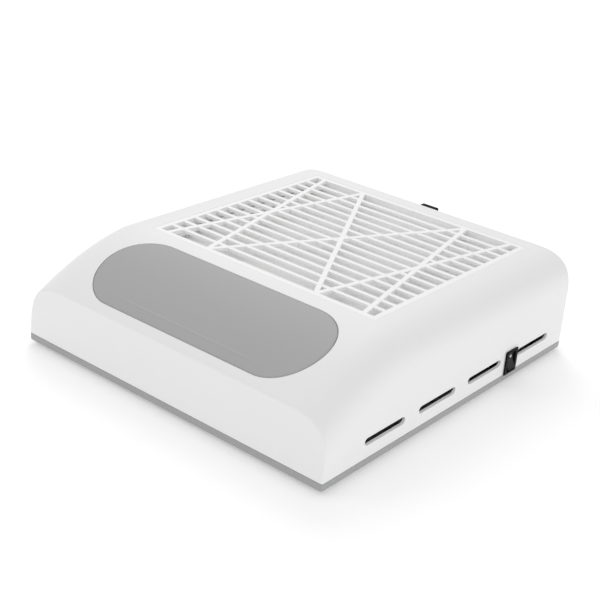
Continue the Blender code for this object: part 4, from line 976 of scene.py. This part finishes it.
def inlet_guard():
    """The finger guard over the fan inlet: round wire rings on crossing bars."""
    here = (FAN_AXIS.x, FAN_AXIS.y)
    middle = (guard_low.z + guard_high.z) / 2
    half = (guard_high.z - guard_low.z) / 2
    outer = (guard_high.x - guard_low.x) / 2
    inner = outer - GUARD_RIM
    soft = 0.0005
    bm = bmesh.new()
    rim = (arc((outer - soft, guard_high.z - soft), soft, 90, 0, 3)
           + arc((outer - soft, guard_low.z + soft), soft, 0, -90, 3)
           + arc((inner + half, middle), half, 270, 90, 8))
    lathe(bm, rim, here, 96)
    guard = show("inlet_guard", bm, INNER_WHITE)
    for r in GUARD_RINGS:
        ring = bmesh.new()
        lathe(ring, arc((r, middle), half, 0, 330, 11), here, 72)
        unite(guard, ring)
    for i in range(3):
        bar = rod_body(half * 0.9, -inner - LAP, inner + LAP, (0, middle), axis="X", segments=16)
        bmesh.ops.rotate(bar, matrix=Matrix.Rotation(math.pi * i / 3, 3, "Z"), verts=bar.verts)
        bmesh.ops.translate(bar, vec=(*here, 0), verts=bar.verts)
        unite(guard, bar)
    settle(guard, 40)
    even_shading(guard)
    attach(guard, "housing")
    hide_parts("finger_guard")


# ---- screws and feet ----
def pan_screw(name):
    """A pan-head screw with a threaded shank and a cross recess."""
    points = [v.co for v in frame["nodes"][name].data.vertices]
    low, high, (x, y) = in_plan(name)
    head = (high.x - low.x) / 2
    radii = [math.hypot(p.x - x, p.y - y) for p in points]
    wide = [p.z for p, r in zip(points, radii) if r > head * 0.9]
    upright = max(wide) > high.z - 0.0001
    far, seat = (max(wide), min(wide)) if upright else (min(wide), max(wide))
    length = abs(seat - (low.z if upright else high.z))
    deep = abs(far - seat)
    shank = max((r for r in radii if r < head * 0.9), default=head / 2)
    outline = [(0, deep), (head * 0.45, deep * 0.97), (head * 0.78, deep * 0.8),
               (head * 0.95, deep * 0.5), (head, deep * 0.25), (head, 0), (shank, 0)]
    turns = max(3, int(length * 0.85 / THREAD_PITCH))
    for i in range(turns):
        z = -length * 0.1 - length * 0.75 * i / turns
        outline += [(shank, z), (shank - THREAD_DEPTH, z - length * 0.375 / turns)]
    outline += [(shank - 0.0004, -length * 0.9), (0, -length)]
    bm = bmesh.new()
    lathe(bm, outline, (0, 0), 28)
    made = show(name + "_threaded", bm, ZINC_STEEL, sharp=50)
    arm, half = head * 0.52, 0.00035
    for a, b in ((arm, half), (half, arm)):
        cut(made, box_body((-a, a), (-b, b), (deep * 0.35, deep + 0.002)))
    settle(made, 50)
    flip = Matrix.Identity(3) if upright else Matrix.Rotation(math.pi, 3, "X")
    bm = bmesh.new()
    bm.from_mesh(made.data)
    bmesh.ops.rotate(bm, matrix=flip, verts=bm.verts)
    bmesh.ops.translate(bm, vec=(x, y, seat), verts=bm.verts)
    bm.to_mesh(made.data)
    bm.free()
    shade(made, 50)
    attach(made, "housing")
    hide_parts(name)


def rubber_foot(name):
    """A turned rubber foot with a rounded tread and a shallow dish."""
    low, high, place = in_plan(name)
    radius = (high.x - low.x) / 2
    dish = low.z + FOOT_DISH
    outline = [(0, high.z), (radius - 0.0003, high.z), (radius, high.z - 0.0003)]
    outline += arc((radius - FOOT_TREAD, low.z + FOOT_TREAD), FOOT_TREAD, 0, -90, 6)
    outline += [(radius - 0.0022, low.z), (radius - 0.0027, dish), (0, dish)]
    bm = bmesh.new()
    lathe(bm, outline, place, 56)
    foot = show(name + "_tread", bm, FOOT_RUBBER, sharp=40)
    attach(foot, "housing")
    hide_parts(name)


# ---- plain inner parts with their corners softened ----
def soften(name, paint, body, radius=0.0004):
    """A copy of a CAD body with small radii on its corners."""
    bm = bmesh.new()
    bm.from_mesh(frame["nodes"][name].data)
    bmesh.ops.remove_doubles(bm, verts=bm.verts, dist=0.000005)
    bmesh.ops.dissolve_limit(bm, angle_limit=math.radians(1), verts=bm.verts, edges=bm.edges)
    copy = show(name + "_moulded", bm, paint)
    corners = copy.modifiers.new("corners", "BEVEL")
    corners.width = radius
    corners.segments = 2
    corners.limit_method = "ANGLE"
    corners.angle_limit = math.radians(40)
    settle(copy, 40)
    even_shading(copy)
    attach(copy, body)
    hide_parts(name)


def soften_inner_parts():
    soften("filter_drawer", INNER_WHITE, "filter")
    soften("filter_retainer", INNER_WHITE, "filter", 0.0003)
    soften("filter_bay", INNER_WHITE, "housing")
    soften("impeller_nut", ZINC_STEEL, "fan", 0.0003)
    for name in ("motor_housing", "motor_end_cap", "motor_bracket"):
        soften(name, DRAWN_STEEL, "housing", 0.0003)
    soften("transformer", CORE_STEEL, "housing", 0.0006)
    soften("heat_sink", FIN_ALUMINIUM, "housing", 0.0002)
    soften("capacitor", SHRINK_SLEEVE, "housing", 0.0006)
    soften("board_connector", NYLON_NATURAL, "housing", 0.0003)
    for i in (1, 2, 3):
        soften(f"motor_grommet_{i}", FOOT_RUBBER, "housing", 0.0003)


# ---- everything that keeps its CAD shape ----
def dress_cad_nodes():
    """Paint the CAD bodies that show as they are; bearings and terminals are plain steel."""
    painted = {"motor_shaft": DRAWN_STEEL, "motor_rotor": CORE_STEEL, "motor_stator": WOUND_COPPER,
               "driver_board": SOLDER_MASK, "lead_socket_to_switch": CABLE_PVC,
               "lead_switch_to_board": CABLE_PVC, "lead_board_to_motor": CABLE_PVC}
    for name, obj in frame["nodes"].items():
        obj.data.materials.clear()
        obj.data.materials.append(painted.get(name, ZINC_STEEL))


# ---- camera, floor and lights ----
CAMERA_ANGLES = (37.89, 24.61, 4.91)   # azimuth, elevation and roll in degrees
CAMERA_PLACE = (0.48054, -0.62900, 0.39716)
CAMERA_LENS = 74.19
LIT_POINT = Vector((0, 0, 0.03))


def camera():
    azimuth, elevation, roll = (math.radians(a) for a in CAMERA_ANGLES)
    back = Vector((math.sin(azimuth) * math.cos(elevation),
                   -math.cos(azimuth) * math.cos(elevation), math.sin(elevation)))
    side = Vector((0, 0, 1)).cross(back).normalized()
    up = back.cross(side)
    turned_side = math.cos(roll) * side + math.sin(roll) * up
    turned_up = math.cos(roll) * up - math.sin(roll) * side
    data = bpy.data.cameras.new("camera")
    data.lens = CAMERA_LENS
    data.sensor_width = 36
    data.clip_start = 0.05
    data.clip_end = 50
    obj = bpy.data.objects.new("camera", data)
    obj.matrix_world = Matrix((turned_side, turned_up, back)).transposed().to_4x4()
    obj.location = CAMERA_PLACE
    bpy.context.scene.collection.objects.link(obj)
    bpy.context.scene.camera = obj


def area_light(name, place, size, power):
    """A round lamp that faces the object."""
    data = bpy.data.lights.new(name, "AREA")
    data.shape = "DISK"
    data.size = size
    data.energy = power
    obj = bpy.data.objects.new(name, data)
    obj.location = place
    obj.rotation_euler = (LIT_POINT - Vector(place)).to_track_quat("-Z", "Y").to_euler()
    bpy.context.scene.collection.objects.link(obj)


def studio():
    """White surroundings, a soft key from the rear left, two fills and a glowing white floor."""
    world = bpy.data.worlds.new("studio")
    world.use_nodes = True
    sky = world.node_tree.nodes["Background"].inputs
    sky["Color"].default_value = (1, 1, 1, 1)
    sky["Strength"].default_value = 0.7
    bpy.context.scene.world = world
    bpy.context.scene.view_settings.view_transform = "Standard"
    area_light("key", (-1.3, 1.3, 1.7), 1.4, 15)
    area_light("right_fill", (1.6, -0.2, 0.35), 1.0, 2.8)
    area_light("front_fill", (-1.3, -1.2, 1.1), 1.0, 3.3)
    bm = bmesh.new()
    bmesh.ops.create_circle(bm, cap_ends=True, segments=64, radius=8)
    paper = finish("floor_paper", (0.86, 0.86, 0.86), 0.9, mottle=(0.004, 30))
    glow = paper.node_tree.nodes["Principled BSDF"].inputs
    glow["Emission Color"].default_value = (1, 1, 1, 1)
    glow["Emission Strength"].default_value = 0.27
    floor = show("floor", bm, paper)


# ---- the whole scene ----
camera()
studio()
dress_cad_nodes()
shell_skin()
base_tray()
palm_cushion()
grille_lattice()
pleated_filter()
pull_tab()
rocker_switch()
mains_socket()
fan_wheel()
inlet_guard()
soften_inner_parts()
for node in frame["nodes"]:
    if "_screw_" in node:
        pan_screw(node)
    elif node.startswith("foot_"):
        rubber_foot(node)
